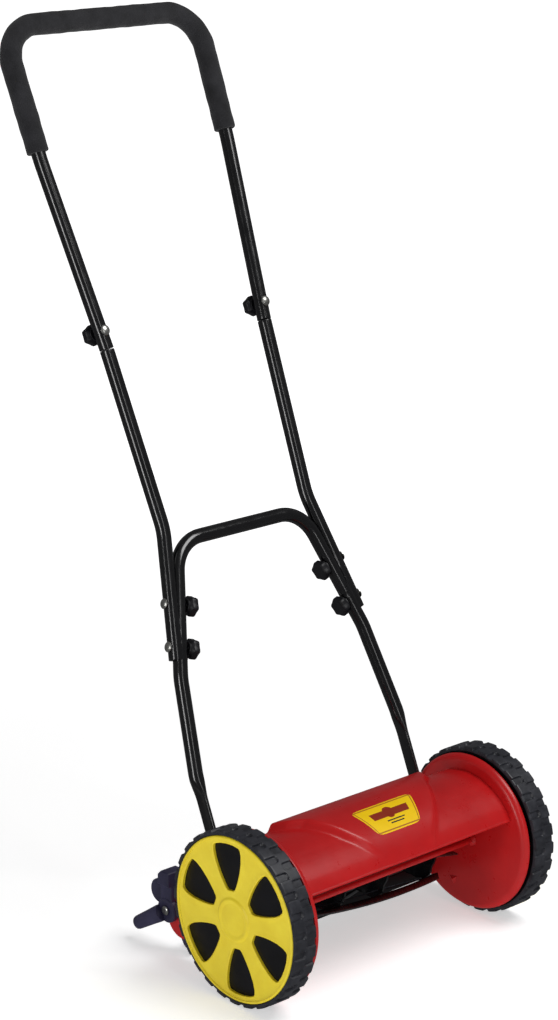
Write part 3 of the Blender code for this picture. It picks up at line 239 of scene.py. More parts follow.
def label_vinyl():
    """Printed vinyl: bright yellow with a dark red band, a round red spot and two thin dark rules.

    A patch is 1 where both chart coordinates are between their limits, and the spot where the distance from
    its middle, stretched to the label's shape, is under 0.2.
    """
    material, shader, at = new_finish("label_vinyl_printed", {"IOR": 1.5, "Specular IOR Level": 0.25})
    chart = add(material, "UVMap", uv_map="label")
    axes = add(material, "SeparateXYZ", links={"Vector": (chart, "UV")})

    def both(one, other, operation):
        return add(material, "Math", links={0: (one, "Value"), 1: (other, "Value")}, operation=operation)

    def within(axis, low, high):
        above = add(material, "Math", {1: low}, {0: (axes, axis)}, operation="GREATER_THAN")
        below = add(material, "Math", {1: high}, {0: (axes, axis)}, operation="LESS_THAN")
        return both(above, below, "MULTIPLY")

    def patch(across, up):
        return both(within("X", *across), within("Y", *up), "MULTIPLY")

    def printed(mask, under, output, ink):
        return add(material, "Mix", {"B": linear(ink)}, {"Factor": (mask, "Value"), "A": (under, output)},
                   data_type="RGBA")

    offset = add(material, "VectorMath", {1: (0.50, 0.60, 0.0)}, {0: (chart, "UV")}, operation="SUBTRACT")
    oval = add(material, "VectorMath", {1: (2.15, 1.0, 0.0)}, {0: (offset, "Vector")}, operation="MULTIPLY")
    reach = add(material, "VectorMath", links={0: (oval, "Vector")}, operation="LENGTH")
    spot = add(material, "Math", {1: 0.20}, {0: (reach, "Value")}, operation="LESS_THAN")
    band = both(patch((0.17, 0.86), (0.46, 0.70)), spot, "MAXIMUM")
    rules = both(patch((0.36, 0.72), (0.31, 0.35)), patch((0.40, 0.68), (0.22, 0.26)), "MAXIMUM")
    border = both(patch((0.022, 0.978), (0.04, 0.96)), patch((0.040, 0.960), (0.08, 0.92)), "SUBTRACT")
    fade = add(material, "TexNoise", {"Scale": 1000 / 18.0, "Detail": 3.0, "Roughness": 0.5}, at)
    yellow = add(material, "ValToRGB", links={"Fac": (fade, "Fac")},
                 stops=[(0.3, linear("#F8CC06")), (0.7, linear("#FCD20C"))])
    gloss = add(material, "ValToRGB", links={"Fac": (fade, "Fac")},
                stops=[(0.3, grey(0.38)), (0.7, grey(0.46))])
    edged = printed(border, yellow, "Color", "#B4701A")
    banded = printed(band, edged, "Result", "#8E2C16")
    ruled = printed(rules, banded, "Result", "#3A3320")
    wire(material, shader, {"Base Color": (ruled, "Result"), "Roughness": (gloss, "Color")})
    return material


FINISH = {
    "red_enamel": enamel("red_enamel_baked", "#C0181A", "#B31316", 0.27, 0.02, 0.42),
    "black_enamel": enamel("black_gloss_enamel", "#08080B", "#050507", 0.13, 0.004, 0.8),
    "bed_coat": enamel("black_powder_coat", "#09090C", "#060608", 0.36, 0.03, 0.3),
    "black_plastic": moulded("black_nylon_moulded", "#0E0E13", "#08080C", 0.42, 0.8, 0.05),
    "blue_black": moulded("blue_black_nylon_moulded", "#34324E", "#27253C", 0.42, 0.8, 0.05),
    "yellow_plastic": moulded("yellow_abs_moulded", "#F0DA30", "#E6CC22", 0.42, 0.7, 0.04),
    "tyre_rubber": tyre_rubber(),
    "grip_foam": cell_foam(),
    "zinc_plate": drawn_metal("zinc_plated_steel", "#DADAD6", "#9A9A96", 0.26, 0, 1.0, 0.02),
    "blade_steel": blade_steel(),
    "bearing_bronze": drawn_metal("bronze_sintered", "#B98B4E", "#7C5A30", 0.38, 0, 0.8, 0.03),
    "label": label_vinyl(),
}


# ---------------------------------------------------------------- mesh helpers
def grid_faces(rows, columns, wrap_rows=False, wrap_columns=True):
    """Quads of a grid: (i, j), (i, j+1), (i+1, j+1), (i+1, j), with either direction closed on itself."""
    i, j = np.meshgrid(np.arange(rows if wrap_rows else rows - 1),
                       np.arange(columns if wrap_columns else columns - 1), indexing="ij")
    down = (i + 1) % rows
    right = (j + 1) % columns
    corners = [i * columns + j, i * columns + right, down * columns + right, down * columns + j]
    return np.stack(corners, -1).reshape(-1, 4)


def shell(grid, wrap_rows=False, wrap_columns=True, lids=True):
    """A grid of points as (points, quads). An open end row is closed by a fan to the mean of its points."""
    rows, columns, _ = grid.shape
    points = grid.reshape(-1, 3)
    quads = grid_faces(rows, columns, wrap_rows, wrap_columns)
    if lids and wrap_columns and not wrap_rows:
        j = np.arange(columns)
        right = (j + 1) % columns
        for row, flip in ((0, True), (rows - 1, False)):
            middle = len(points)
            points = np.vstack([points, grid[row].mean(0)])
            a, b = (right, j) if flip else (j, right)
            hub = np.full(columns, middle)
            quads = np.vstack([quads, np.stack([row * columns + a, row * columns + b, hub, hub], -1)])
    return points, quads


def together(*shells):
    """Several (points, quads) as one."""
    points, quads, count = [], [], 0
    for p, q in shells:
        points.append(p)
        quads.append(q + count)
        count += len(p)
    return np.vstack(points), np.vstack(quads)


def welded(points, quads):
    """Merge points closer than a micrometre, then keep each face's corners that still differ."""
    keys = np.round(points * 1e6).astype(np.int64)
    _, first, back = np.unique(keys, axis=0, return_index=True, return_inverse=True)
    quads = back.reshape(-1)[quads]
    same = quads == np.roll(quads, -1, axis=1)
    whole = quads[same.sum(1) == 0]
    part = quads[same.sum(1) == 1]
    gone = same[same.sum(1) == 1].argmax(1)
    order = (gone[:, None] + np.array([1, 2, 3])) % 4
    triangles = np.take_along_axis(part, order, 1)
    return points[first], whole, triangles


def volume(points, quads, triangles):
    """Signed volume: a sixth of the sum of a . (b x c) over the triangles of each face's first corner."""
    tris = np.vstack([quads[:, [0, 1, 2]], quads[:, [0, 2, 3]], triangles])
    a, b, c = points[tris[:, 0]], points[tris[:, 1]], points[tris[:, 2]]
    return np.einsum("ij,ij->i", a, np.cross(b, c)).sum() / 6


def add_piece(name, made, finish, body, stands_for=(), sharp=32.0, land=None, chart=None):
    """Put a closed (points in mm, quads) into a mesh whose faces point outwards, and hand it to a body."""
    points, quads = made
    if land is not None or chart is not None:
        triangles = np.zeros((0, 3), int)
    else:
        points, quads, triangles = welded(points, quads)
    if volume(points - points.mean(0), quads, triangles) < 0:
        quads = quads[:, ::-1]
        triangles = triangles[:, ::-1]
    mesh = bpy.data.meshes.new(name)
    mesh.from_pydata((points * MM + AXLE).tolist(), [], quads.tolist() + triangles.tolist())
    mesh.shade_smooth()
    mesh.set_sharp_from_angle(angle=math.radians(sharp))
    if land is not None:
        mesh.attributes.new("land", "FLOAT", "POINT").data.foreach_set("value", land.astype(np.float32))
    if chart is not None:
        corners = np.zeros(len(mesh.loops), np.int32)
        mesh.loops.foreach_get("vertex_index", corners)
        mesh.uv_layers.new(name="label").data.foreach_set("uv", chart[corners].astype(np.float32).ravel())
    mesh.materials.append(FINISH[finish])
    piece = bpy.data.objects.new(name, mesh)
    bpy.context.scene.collection.objects.link(piece)
    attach(piece, body)
    if stands_for:
        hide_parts(*stands_for)
    return piece


def rounded(corners, radii, closed=False, count=6):
    """A polyline whose corners are replaced by arcs: each arc starts r * tan(turn / 2) before its corner."""
    corners = np.asarray(corners, float)
    total = len(corners)
    points = []
    for k in range(total):
        radius = radii[k] if hasattr(radii, "__len__") else radii
        if not closed and k in (0, total - 1):
            points.append(corners[k])
            continue
        arrive = corners[k] - corners[k - 1]
        leave = corners[(k + 1) % total] - corners[k]
        arrive /= np.linalg.norm(arrive)
        leave /= np.linalg.norm(leave)
        turn = math.acos(max(-1.0, min(1.0, float(arrive @ leave))))
        if radius <= 0 or turn < 0.02:
            points.append(corners[k])
            continue
        first = corners[k] - arrive * radius * math.tan(turn / 2)
        inward = leave - arrive * (arrive @ leave)
        inward /= np.linalg.norm(inward)
        steps = np.linspace(0.0, turn, count + 1)[:, None]
        points.extend(first + inward * radius * (1 - np.cos(steps)) + arrive * radius * np.sin(steps))
    return np.array(points)


def turned(profile, sides=96, centre=(0.0, 0.0, 0.0), axis=(1.0, 0.0, 0.0), swell=None):
    """A profile of (along, radius) carried round an axis: centre + axis * along + radius * (cos a, sin a).

    swell(angle, along, radius) gives a new radius, for lobes and recesses.
    """
    profile = np.asarray(profile, float)
    axis = np.asarray(axis, float) / np.linalg.norm(axis)
    helper = np.array([0.0, 1.0, 0.0]) if abs(axis[1]) < 0.9 else np.array([0.0, 0.0, 1.0])
    first = helper - axis * (helper @ axis)
    first /= np.linalg.norm(first)
    second = np.cross(axis, first)
    angle = np.linspace(0, 2 * math.pi, sides, endpoint=False)
    along, radius = np.broadcast_arrays(profile[:, 0, None], profile[:, 1, None] + 0 * angle[None, :])
    along = along + 0 * angle[None, :]
    if swell is not None:
        radius = swell(angle[None, :], along, radius)
    round_about = np.cos(angle)[None, :, None] * first + np.sin(angle)[None, :, None] * second
    return np.asarray(centre) + along[..., None] * axis + radius[..., None] * round_about


def smooth(t):
    """0 below 0, 1 above 1 and 3t^2 - 2t^3 between."""
    t = np.clip(t, 0.0, 1.0)
    return t * t * (3 - 2 * t)


def pressed(outline, inner, outer, edge, steps=4):
    """A flat outline in (y, z), counter-clockwise, carried along X with rounded edges.

    At each step of the rounding the outline moves in along its normals by edge * (1 - cos a), while x runs
    edge * (1 - sin a) short of the face.
    """
    outline = np.asarray(outline, float)
    ahead = np.roll(outline, -1, 0) - outline
    ahead /= np.maximum(np.linalg.norm(ahead, axis=1), 1e-9)[:, None]
    mean = ahead + np.roll(ahead, 1, 0)
    mean /= np.maximum(np.linalg.norm(mean, axis=1), 1e-9)[:, None]
    normal = np.stack([mean[:, 1], -mean[:, 0]], -1)
    low, high = min(inner, outer), max(inner, outer)
    angle = np.linspace(0.0, math.pi / 2, steps + 1)
    places = [(low + edge * (1 - math.sin(a)), edge * (1 - math.cos(a))) for a in angle[::-1]]
    places += [(high - edge * (1 - math.sin(a)), edge * (1 - math.cos(a))) for a in angle]
    rows = [np.column_stack([np.full(len(outline), x), outline - normal * inset]) for x, inset in places]
    return shell(np.array(rows))


def soft_box(centre, half, edge, count=6):
    """A ball pushed out in eight parts to a box's corners: centre + sign * (half - edge) + edge * n."""
    up = np.concatenate([np.linspace(-90, -0.01, count + 1), np.linspace(0.01, 90, count + 1)])
    quarter = np.linspace(0.01, 89.99, count + 1)
    around = np.concatenate([quarter, quarter + 90, quarter + 180, quarter + 270])
    up, around = np.meshgrid(np.radians(up), np.radians(around), indexing="ij")
    n = np.stack([np.cos(up) * np.cos(around), np.cos(up) * np.sin(around), np.sin(up)], -1)
    square = np.stack([np.sign(np.cos(around)), np.sign(np.sin(around)), np.sign(up)], -1)
    grid = np.asarray(centre) + square * (np.asarray(half, float) - edge) + edge * n
    return shell(grid)


def tilted(made, pivot, angle):
    """Turn points about an X-wise line through pivot (y, z)."""
    points, quads = made
    c, s = math.cos(angle), math.sin(angle)
    y, z = points[:, 1] - pivot[0], points[:, 2] - pivot[1]
    return np.column_stack([points[:, 0], pivot[0] + c * y - s * z, pivot[1] + s * y + c * z]), quads


# ---------------------------------------------------------------- handle
REARWARD = np.array([0.0, math.cos(LEAN), -math.sin(LEAN)])       # square to the handle's plane
UPWARD = np.array([0.0, math.sin(LEAN), math.cos(LEAN)])          # up the handle


def on_handle(x, z):
    """A point of the handle's leaning plane."""
    return np.array([x, PIVOT_Y + math.tan(LEAN) * z, z])


def evenly(path, step):
    """Points at even steps along a polyline."""
    path = np.asarray(path, float)
    length = np.concatenate([[0.0], np.cumsum(np.linalg.norm(np.diff(path, axis=0), axis=1))])
    places = np.linspace(0.0, length[-1], max(2, int(length[-1] / step) + 1))
    return np.column_stack([np.interp(places, length, path[:, k]) for k in range(3)])


def carried(path, wide, thick, sides=40, square=None):
    """A ring carried along a path in the handle's plane.

    Point (i, a) = path_i + REARWARD * wide_i * cos(a) + across_i * thick_i * sin(a), with the cosine and sine
    raised to square_i, which is 1 for a circle and under 1 for a flatter side.
    """
    ahead = np.gradient(path, axis=0)
    ahead /= np.linalg.norm(ahead, axis=1)[:, None]
    across = np.cross(ahead, REARWARD)
    across /= np.linalg.norm(across, axis=1)[:, None]
    angle = np.linspace(0, 2 * math.pi, sides, endpoint=False)
    power = np.ones(len(path)) if square is None else square
    c = np.sign(np.cos(angle)) * np.abs(np.cos(angle))[None, :] ** power[:, None]
    s = np.sign(np.sin(angle)) * np.abs(np.sin(angle))[None, :] ** power[:, None]
    wide = np.broadcast_to(wide, len(path))
    thick = np.broadcast_to(thick, len(path))
    return (path[:, None, :] + REARWARD * (wide[:, None] * c)[..., None]
            + across[:, None, :] * (thick[:, None] * s)[..., None])


def eased_ends(path, radius, edge):
    """Radii along a path that shrink by a quarter circle of the given edge at both ends."""
    length = np.concatenate([[0.0], np.cumsum(np.linalg.norm(np.diff(path, axis=0), axis=1))])
    near = np.minimum(length, length[-1] - length)
    inside = np.clip(near / edge, 0.0, 1.0)
    return radius - edge + edge * np.sqrt(np.clip(1 - (1 - inside) ** 2, 0.0, 1.0))


def with_fine_ends(path, edge):
    """Add a few close points near both ends of a path, for a rounded rim."""
    path = np.asarray(path, float)
    shares = np.array([0.0, 0.08, 0.25, 0.5, 0.75, 1.0]) * edge
    start = path[0] + (path[1] - path[0]) / np.linalg.norm(path[1] - path[0]) * shares[:, None]
    end = path[-1] + (path[-2] - path[-1]) / np.linalg.norm(path[-2] - path[-1]) * shares[::-1, None]
    return np.vstack([start, path[1:-1], end])


def mirrored(points):
    """The left half's points, then their mirror images in reverse."""
    points = np.asarray(points, float)
    return np.vstack([points, points[::-1] * np.array([-1.0, 1.0, 1.0])])


# corners of the handle's tubes as (half width, height), and the places of its clamps
LOWER_TOP = (103.0, 385.0)
LOWER_KNEE = (152.0, 238.0)
MIDDLE_BEND = (118.0, 401.0)
MIDDLE_END_Z = 258.0
UPPER_BEND = (150.0, 830.0)
UPPER_TOP = (155.0, 985.0)
JOINT_X = 128.6
TUBE_EDGE = 0.8
GRIP_EDGE = 2.4
GRIP_END_Z = 839.0
CLAMP_HEIGHTS = (316.0, 270.0)
JOINT_CLAMP_RISE = 20.5
BOLT_HEAD_R = 6.5
SEAT_GAP = 0.3


def leg_half(z):
    """Half width of the lower frame's straight leg at a height."""
    return LOWER_TOP[0] + (LOWER_KNEE[0] - LOWER_TOP[0]) * (LOWER_TOP[1] - z) / (LOWER_TOP[1] - LOWER_KNEE[1])


LEG_TILT = math.atan2(LOWER_KNEE[0] - LOWER_TOP[0], (LOWER_TOP[1] - LOWER_KNEE[1]) / math.cos(LEAN))
MIDDLE_END_X = leg_half(MIDDLE_END_Z) + 6.0 / math.cos(LEG_TILT)


def make_lower_frame():
    """Lower U of tube, its ends pressed flat and dished where they bolt to the side plates."""
    foot = -FLAT_HALF_WIDE * math.cos(LEAN)
    half = [on_handle(-FLAT_CENTRE, foot), on_handle(-FLAT_CENTRE, FLAT_TOP + 2.0),
            on_handle(-LOWER_KNEE[0], LOWER_KNEE[1]), on_handle(-LOWER_TOP[0], LOWER_TOP[1])]
    path = rounded(mirrored(half), [0, 70, 90, 50, 50, 90, 70, 0], count=14)
    path = evenly(path, 3.0)
    height = path[:, 2]
    flat = smooth((FLAT_TOP - height) / FLAT_BLEND)
    wide = TUBE_R + (FLAT_HALF_WIDE - TUBE_R) * flat
    thick = TUBE_R + (FLAT_HALF_THICK - TUBE_R) * flat
    end = (height - foot) / math.cos(LEAN)
    wide = wide * np.sqrt(np.clip(1 - np.clip(1 - end / FLAT_HALF_WIDE, 0, 1) ** 2, 0.02, 1.0))
    grid = carried(path, wide, thick, 48, 1.0 - 0.35 * flat)
    # dish the flattened outer face: a shallow groove that starts as a crease where the round tube ends
    dish = 1.1 * flat * smooth((height - foot) / 40.0)
    dish += 1.6 * np.exp(-((height - FLAT_TOP + 17.0) / 9.0) ** 2)
    angle = np.linspace(0, 2 * math.pi, 48, endpoint=False)
    groove = np.exp(-(np.cos(angle) / 0.42) ** 2)
    toward = np.sign(path[:, 0])[:, None] * (grid[:, :, 0] - path[:, None, 0]) > 0
    grid[:, :, 0] -= np.sign(path[:, 0])[:, None] * dish[:, None] * groove[None, :] * toward
    add_piece("lower_frame_tube", shell(grid), "black_enamel", "handle", ["lower_handle"])


def make_middle(label, side):
    """Tube from the upper joint down to the leg, its end hollowed round the leg it lies on."""
    run = rounded([on_handle(side * JOINT_X, JOINT_Z - 0.8), on_handle(side * MIDDLE_BEND[0], MIDDLE_BEND[1]),
                   on_handle(side * MIDDLE_END_X, MIDDLE_END_Z)], [0, 90, 0], count=12)
    path = with_fine_ends(evenly(run, 4.0), TUBE_EDGE)
    radius = eased_ends(path, TUBE_R, TUBE_EDGE)
    grid = carried(path, radius, radius, 48)
    knee = on_handle(side * LOWER_KNEE[0], LOWER_KNEE[1])
    leg = on_handle(side * LOWER_TOP[0], LOWER_TOP[1]) - knee
    leg /= np.linalg.norm(leg)
    reach = grid - knee
    away = reach - (reach @ leg)[..., None] * leg
    distance = np.linalg.norm(away, axis=-1)
    clear = TUBE_R + 0.35
    beside = (distance < clear) & (grid[..., 2] < LOWER_TOP[1] - 20.0)
    push = np.where(beside, clear / np.maximum(distance, 1e-6), 1.0)
    grid = grid + away * (push - 1.0)[..., None]
    add_piece(f"middle_tube_{label}_drawn", shell(grid), "black_enamel", "handle", [f"middle_tube_{label}"])


def make_upper_frame():
    """Upper U of tube and the foam sleeve on it."""
    half = [on_handle(-JOINT_X, JOINT_Z), on_handle(-UPPER_BEND[0], UPPER_BEND[1]),
            on_handle(-UPPER_TOP[0], UPPER_TOP[1])]
    run = rounded(mirrored(half), [0, 300, 50, 50, 300, 0], count=16)
    path = with_fine_ends(evenly(run, 4.0), TUBE_EDGE)
    radius = eased_ends(path, TUBE_R, TUBE_EDGE)
    grid = carried(path, radius, radius, 48)
    add_piece("upper_frame_tube", shell(grid), "black_enamel", "handle", ["upper_handle"])
    sleeve = evenly(run, 2.5)
    sleeve = with_fine_ends(sleeve[sleeve[:, 2] > GRIP_END_Z], GRIP_EDGE)
    radius = eased_ends(sleeve, GRIP_R, GRIP_EDGE)
    grid = carried(sleeve, radius, radius, 64)
    # soft foam is never quite even: three waves along and round it, each of 0.10 to 0.16 mm
    station = np.linspace(0, 1, len(sleeve))[:, None]
    angle = np.linspace(0, 2 * math.pi, 64, endpoint=False)[None, :]
    wave = 0.16 * np.sin(61 * station + 2 * angle) + 0.12 * np.sin(137 * station - 3 * angle + 1.0)
    wave += 0.10 * np.sin(29 * station * 2 * math.pi + angle)
    outwards = grid - sleeve[:, None, :]
    outwards /= np.maximum(np.linalg.norm(outwards, axis=-1), 1e-6)[..., None]
    grid = grid + outwards * (wave - 0.35)[..., None]
    grip = add_piece("foam_grip_sleeve", shell(grid), "grip_foam", "handle", ["foam_grip"])


# ---------------------------------------------------------------- bolts and knobs
def clamp_places():
    """Name, point on the bolt, outward direction, reach to the head and reach to the knob of each clamp."""
    places = []
    rise = (MIDDLE_BEND[1] - MIDDLE_END_Z) / math.cos(LEAN)
    nest = abs(LEG_TILT - math.atan2(MIDDLE_END_X - MIDDLE_BEND[0], rise))
    for label, side in SIDES.items():
        outward = side * math.cos(LEG_TILT) * np.array([1.0, 0, 0]) + math.sin(LEG_TILT) * UPWARD
        for index, z in enumerate(CLAMP_HEIGHTS, start=1):
            share = (MIDDLE_BEND[1] - z) / (MIDDLE_BEND[1] - MIDDLE_END_Z)
            middle_half = MIDDLE_BEND[0] + (MIDDLE_END_X - MIDDLE_BEND[0]) * share
            apart = (middle_half - leg_half(z)) * math.cos(LEG_TILT)
            head = apart + TUBE_R + BOLT_HEAD_R * math.sin(nest)
            places.append((f"lower_{index}_{label}", on_handle(side * leg_half(z), z), outward, head, TUBE_R))
        z = JOINT_Z + JOINT_CLAMP_RISE
        x = JOINT_X + (UPPER_BEND[0] - JOINT_X) * JOINT_CLAMP_RISE / (UPPER_BEND[1] - JOINT_Z)
        places.append((f"upper_{label}", on_handle(side * x, z), -REARWARD, TUBE_R, TUBE_R))
    return places


def lobed(angle, along, radius):
    """Six shallow grip flutes: the radius drops by 0.13 of itself between the lobes."""
    depth = 0.13 * smooth((radius - 8.0) / 3.0)
    return radius * (1 - depth * (0.5 - 0.5 * np.cos(6 * angle)) ** 0.7)


def make_clamps():
    """A domed zinc bolt head on one side of each pair of tubes and a six-lobed hand knob on the other."""
    for name, spot, outward, head, knob in clamp_places():
        seat = head + SEAT_GAP
        dome = [(-knob, 0.0), (-knob, 3.0), (seat, 3.0), (seat, 6.4), (seat + 0.9, 6.5), (seat + 1.9, 5.6),
                (seat + 2.9, 3.6), (seat + 3.35, 1.9), (seat + 3.4, 0.0)]
        bolt = turned(dome, 32, spot, outward)
        add_piece(f"bolt_{name}_domed", shell(bolt, lids=False), "zinc_plate", "handle", [f"bolt_{name}"], 40)
        shape = [(0.0, 0.0), (0.0, 3.1), (0.0, 8.2), (0.5, 8.8), (2.2, 8.8), (3.4, 11.2), (4.2, 12.6),
                 (5.2, 13.2), (11.2, 13.2), (12.7, 12.5), (13.6, 10.6), (13.9, 8.6), (13.5, 6.2),
                 (13.3, 4.2), (13.3, 0.0)]
        body = turned(shape, 72, spot - outward * (knob + SEAT_GAP), -outward, lobed)
        add_piece(f"knob_{name}_fluted", shell(body, lids=False), "black_plastic", f"knob_{name}_body",
                  [f"knob_{name}"], 38)


# ---------------------------------------------------------------- wheels
TREAD_PITCHES = 28
TREAD_DEPTH = 2.7


def tread(angle, along, radius):
    """Two staggered rows of U-shaped pockets, open at the tyre's edges.

    In each row pocket = smooth(tongue - turn) * smooth(reach), with the tongue's half width a quarter circle
    that widens towards the edge, and the radius drops by TREAD_DEPTH * pocket on the crown.
    """
    pitch = 2 * math.pi / TREAD_PITCHES
    middle = (TYRE_IN + TYRE_OUT) / 2
    pockets = np.zeros(np.broadcast(angle, along).shape)
    for row, direction in ((0.0, 1.0), (0.5, -1.0)):
        turn = np.abs((angle / pitch + row) % 1.0 - 0.5) * pitch * WHEEL_R
        reach = direction * (np.abs(along) - middle)
        tongue = 5.2 * np.sqrt(np.clip(1 - np.clip((3.6 - reach) / 4.2, 0, 1) ** 2, 0, 1))
        pocket = smooth((tongue - turn) / 1.1) * smooth((reach + 0.4) / 1.2)
        pockets = np.maximum(pockets, pocket)
    crown = smooth((radius - (WHEEL_R - 4.5)) / 3.5)
    return radius - TREAD_DEPTH * pockets * crown


def make_tyre(label, side):
    """Solid rubber tyre: rounded shoulders, a plain bead against the rim and the tread's pockets."""
    low, high = TYRE_IN, TYRE_OUT
    bead = RIM_R + 0.35
    outer = np.array([(low, bead), (low, WHEEL_R - 1.6), (low + 0.4, WHEEL_R - 0.5), (low + 1.5, WHEEL_R)])
    across = np.column_stack([np.linspace(low + 2.2, high - 2.2, 40), np.full(40, WHEEL_R)])
    last = np.array([(high - 1.5, WHEEL_R), (high - 0.4, WHEEL_R - 0.5), (high, WHEEL_R - 1.6), (high, bead)])
    profile = np.vstack([outer, across, last])
    profile = np.column_stack([profile[:, 0] * side, profile[:, 1]])
    grid = turned(profile, TREAD_PITCHES * 24, swell=tread)
    add_piece(f"tyre_{label}_treaded", shell(grid, wrap_rows=True), "tyre_rubber", f"{label}_wheel",
              [f"tyre_{label}"], 42)


# one side of a cap window as (share of RIM_R, angle), and the cap's middle disc, rim, front and back
WINDOW_SHAPE = [(0.355, 0.17), (0.415, 0.235), (0.51, 0.283), (0.62, 0.305), (0.74, 0.305), (0.84, 0.285),
                (0.905, 0.25)]
WINDOW_MIDDLE = np.array([0.655 * RIM_R, 0.0])
CAP_PHASE = math.radians(81.5)
CAP_HUB = 27.5
CAP_RIM = 0.955 * RIM_R
CAP_TOP = CAP_FACE - 2.0
CAP_BACK = CAP_FACE - 5.4


def window_edge(phi):
    """Distance from a window's middle to its edge in each direction, by crossing rays with its outline."""
    side = [(r * RIM_R * math.cos(a), r * RIM_R * math.sin(a)) for r, a in WINDOW_SHAPE]
    rim = [(0.912 * RIM_R * math.cos(a), 0.912 * RIM_R * math.sin(a)) for a in (0.12, 0.0, -0.12)]
    loop = side + rim + [(u, -v) for u, v in side[::-1]]
    loop = rounded(np.array(loop)[::-1], [3.5] + [0] * 5 + [3.0] + [0] * 3 + [3.0] + [0] * 5 + [3.5], True, 5)
    a = loop - WINDOW_MIDDLE
    b = np.roll(loop, -1, 0) - WINDOW_MIDDLE
    ray = np.stack([np.cos(phi), np.sin(phi)], -1)
    cross = a[:, 0] * b[:, 1] - a[:, 1] * b[:, 0]
    edge = b - a
    bottom = ray[:, None, 0] * edge[None, :, 1] - ray[:, None, 1] * edge[None, :, 0]
    bottom = np.where(np.abs(bottom) < 1e-9, 1e-9, bottom)
    distance = cross[None, :] / bottom
    share = (ray[:, None, 1] * a[None, :, 0] - ray[:, None, 0] * a[None, :, 1]) / bottom
    good = (distance > 0) & (share >= -1e-6) & (share <= 1 + 1e-6)
    return np.where(good, distance, 1e9).min(1)


def about_x(points, turn):
    """Points (x, y, z) turned about the wheel's axis."""
    c, s = math.cos(turn), math.sin(turn)
    y, z = points[..., 1], points[..., 2]
    return np.stack([points[..., 0], c * y - s * z, s * y + c * z], -1)


def rings(profile, angles):
    """For each (x, radius) of a profile, the ring of points (x, radius * cos a, radius * sin a)."""
    circle = np.stack([np.cos(angles), np.sin(angles)], -1)
    return np.array([np.column_stack([np.full(len(angles), x), radius * circle]) for x, radius in profile])


def make_hub_cap(label, side):
    """Six-window cap: each 60-degree sector is a ring of points between its window's edge and its border.

    The height falls from a raised lip round each window to the spoke's shallow middle, and the middle disc
    stands proud with a faint ring in it.
    """
    half = math.radians(30.0)
    outer = np.linspace(-half, half, 25)[:-1]
    inner = np.linspace(half, -half, 9)[:-1]
    inwards = np.linspace(CAP_RIM, CAP_HUB, 17)[:-1]
    outwards = np.linspace(CAP_HUB, CAP_RIM, 17)[:-1]
    border = np.concatenate([
        np.column_stack([CAP_RIM * np.cos(outer), CAP_RIM * np.sin(outer)]),
        np.column_stack([inwards * math.cos(half), inwards * math.sin(half)]),
        np.column_stack([CAP_HUB * np.cos(inner), CAP_HUB * np.sin(inner)]),
        np.column_stack([outwards * math.cos(half), -outwards * math.sin(half)])])
    phi = np.arctan2(border[:, 1] - WINDOW_MIDDLE[1], border[:, 0] - WINDOW_MIDDLE[0])
    edge = WINDOW_MIDDLE + np.stack([np.cos(phi), np.sin(phi)], -1) * window_edge(phi)[:, None]
    share = np.array([0.0, 0.012, 0.04, 0.09, 0.16, 0.25, 0.36, 0.50, 0.66, 0.83, 1.0])[:, None, None]
    face = edge[None] + (border - edge)[None] * share
    gap = np.linalg.norm(face - edge[None], axis=-1)
    radius = np.linalg.norm(face, axis=-1)
    lip = 1.0 - (1 - np.clip(gap / 1.1, 0, 1)) ** 2
    valley = smooth((gap - 1.0) / 6.5) * smooth((radius - CAP_HUB - 2.0) / 14.0)
    valley = valley * smooth((CAP_RIM + 2.0 - radius) / 7.0)
    top = CAP_TOP - (1.3 * (1 - np.sqrt(np.clip(lip, 0, 1))) + 0.8 * valley)
    back = np.full(len(edge), CAP_BACK)
    front_rows = [np.column_stack([back, edge]), np.column_stack([back + 3.0, edge])]
    front_rows += [np.column_stack([top[k], face[k]]) for k in range(len(share))]
    back_rows = [np.column_stack([back, border]), np.column_stack([back, edge])]
    parts = []
    for index in range(6):
        for rows in (front_rows, back_rows):
            parts.append(shell(about_x(np.array(rows), index * math.pi / 3), lids=False))
    sixths = np.arange(6)[:, None] * math.pi / 3
    near = (np.linspace(-half, half, 9)[None, :-1] + sixths).ravel()
    far = (outer[None, :] + sixths).ravel()
    disc = [(0.0, 1.45), (8.0, 1.50), (16.0, 1.30), (19.6, 0.95), (20.4, 1.0), (22.4, 1.75), (24.2, 1.85),
            (25.4, 1.5), (26.4, 0.6), (CAP_HUB, 0.0)]
    ring = [(CAP_RIM, 0.0), (CAP_RIM + 0.8, 0.12), (RIM_R - 3.4, 1.1), (RIM_R - 2.2, 1.3), (RIM_R - 0.9, 0.7),
            (RIM_R - 0.4, -0.4), (RIM_R - 0.4, -2.5), (RIM_R - 0.8, -3.3)]
    crown = rings([(CAP_TOP + h, r) for r, h in disc], near)
    floor = rings([(CAP_BACK, CAP_HUB), (CAP_BACK, 0.0)], near)
    lip_ring = rings([(CAP_TOP + h, r) for r, h in ring] + [(CAP_BACK, CAP_RIM)], far)
    parts += [shell(crown, lids=False), shell(floor, lids=False), shell(lip_ring, lids=False)]
    points, quads = together(*parts)
    points = about_x(points * np.array([side, 1.0, 1.0]), CAP_PHASE if side < 0 else math.pi - CAP_PHASE)
    add_piece(f"hub_cap_{label}_moulded", (points, quads), "yellow_plastic", f"{label}_wheel",
              [f"hub_cap_{label}"], 50)


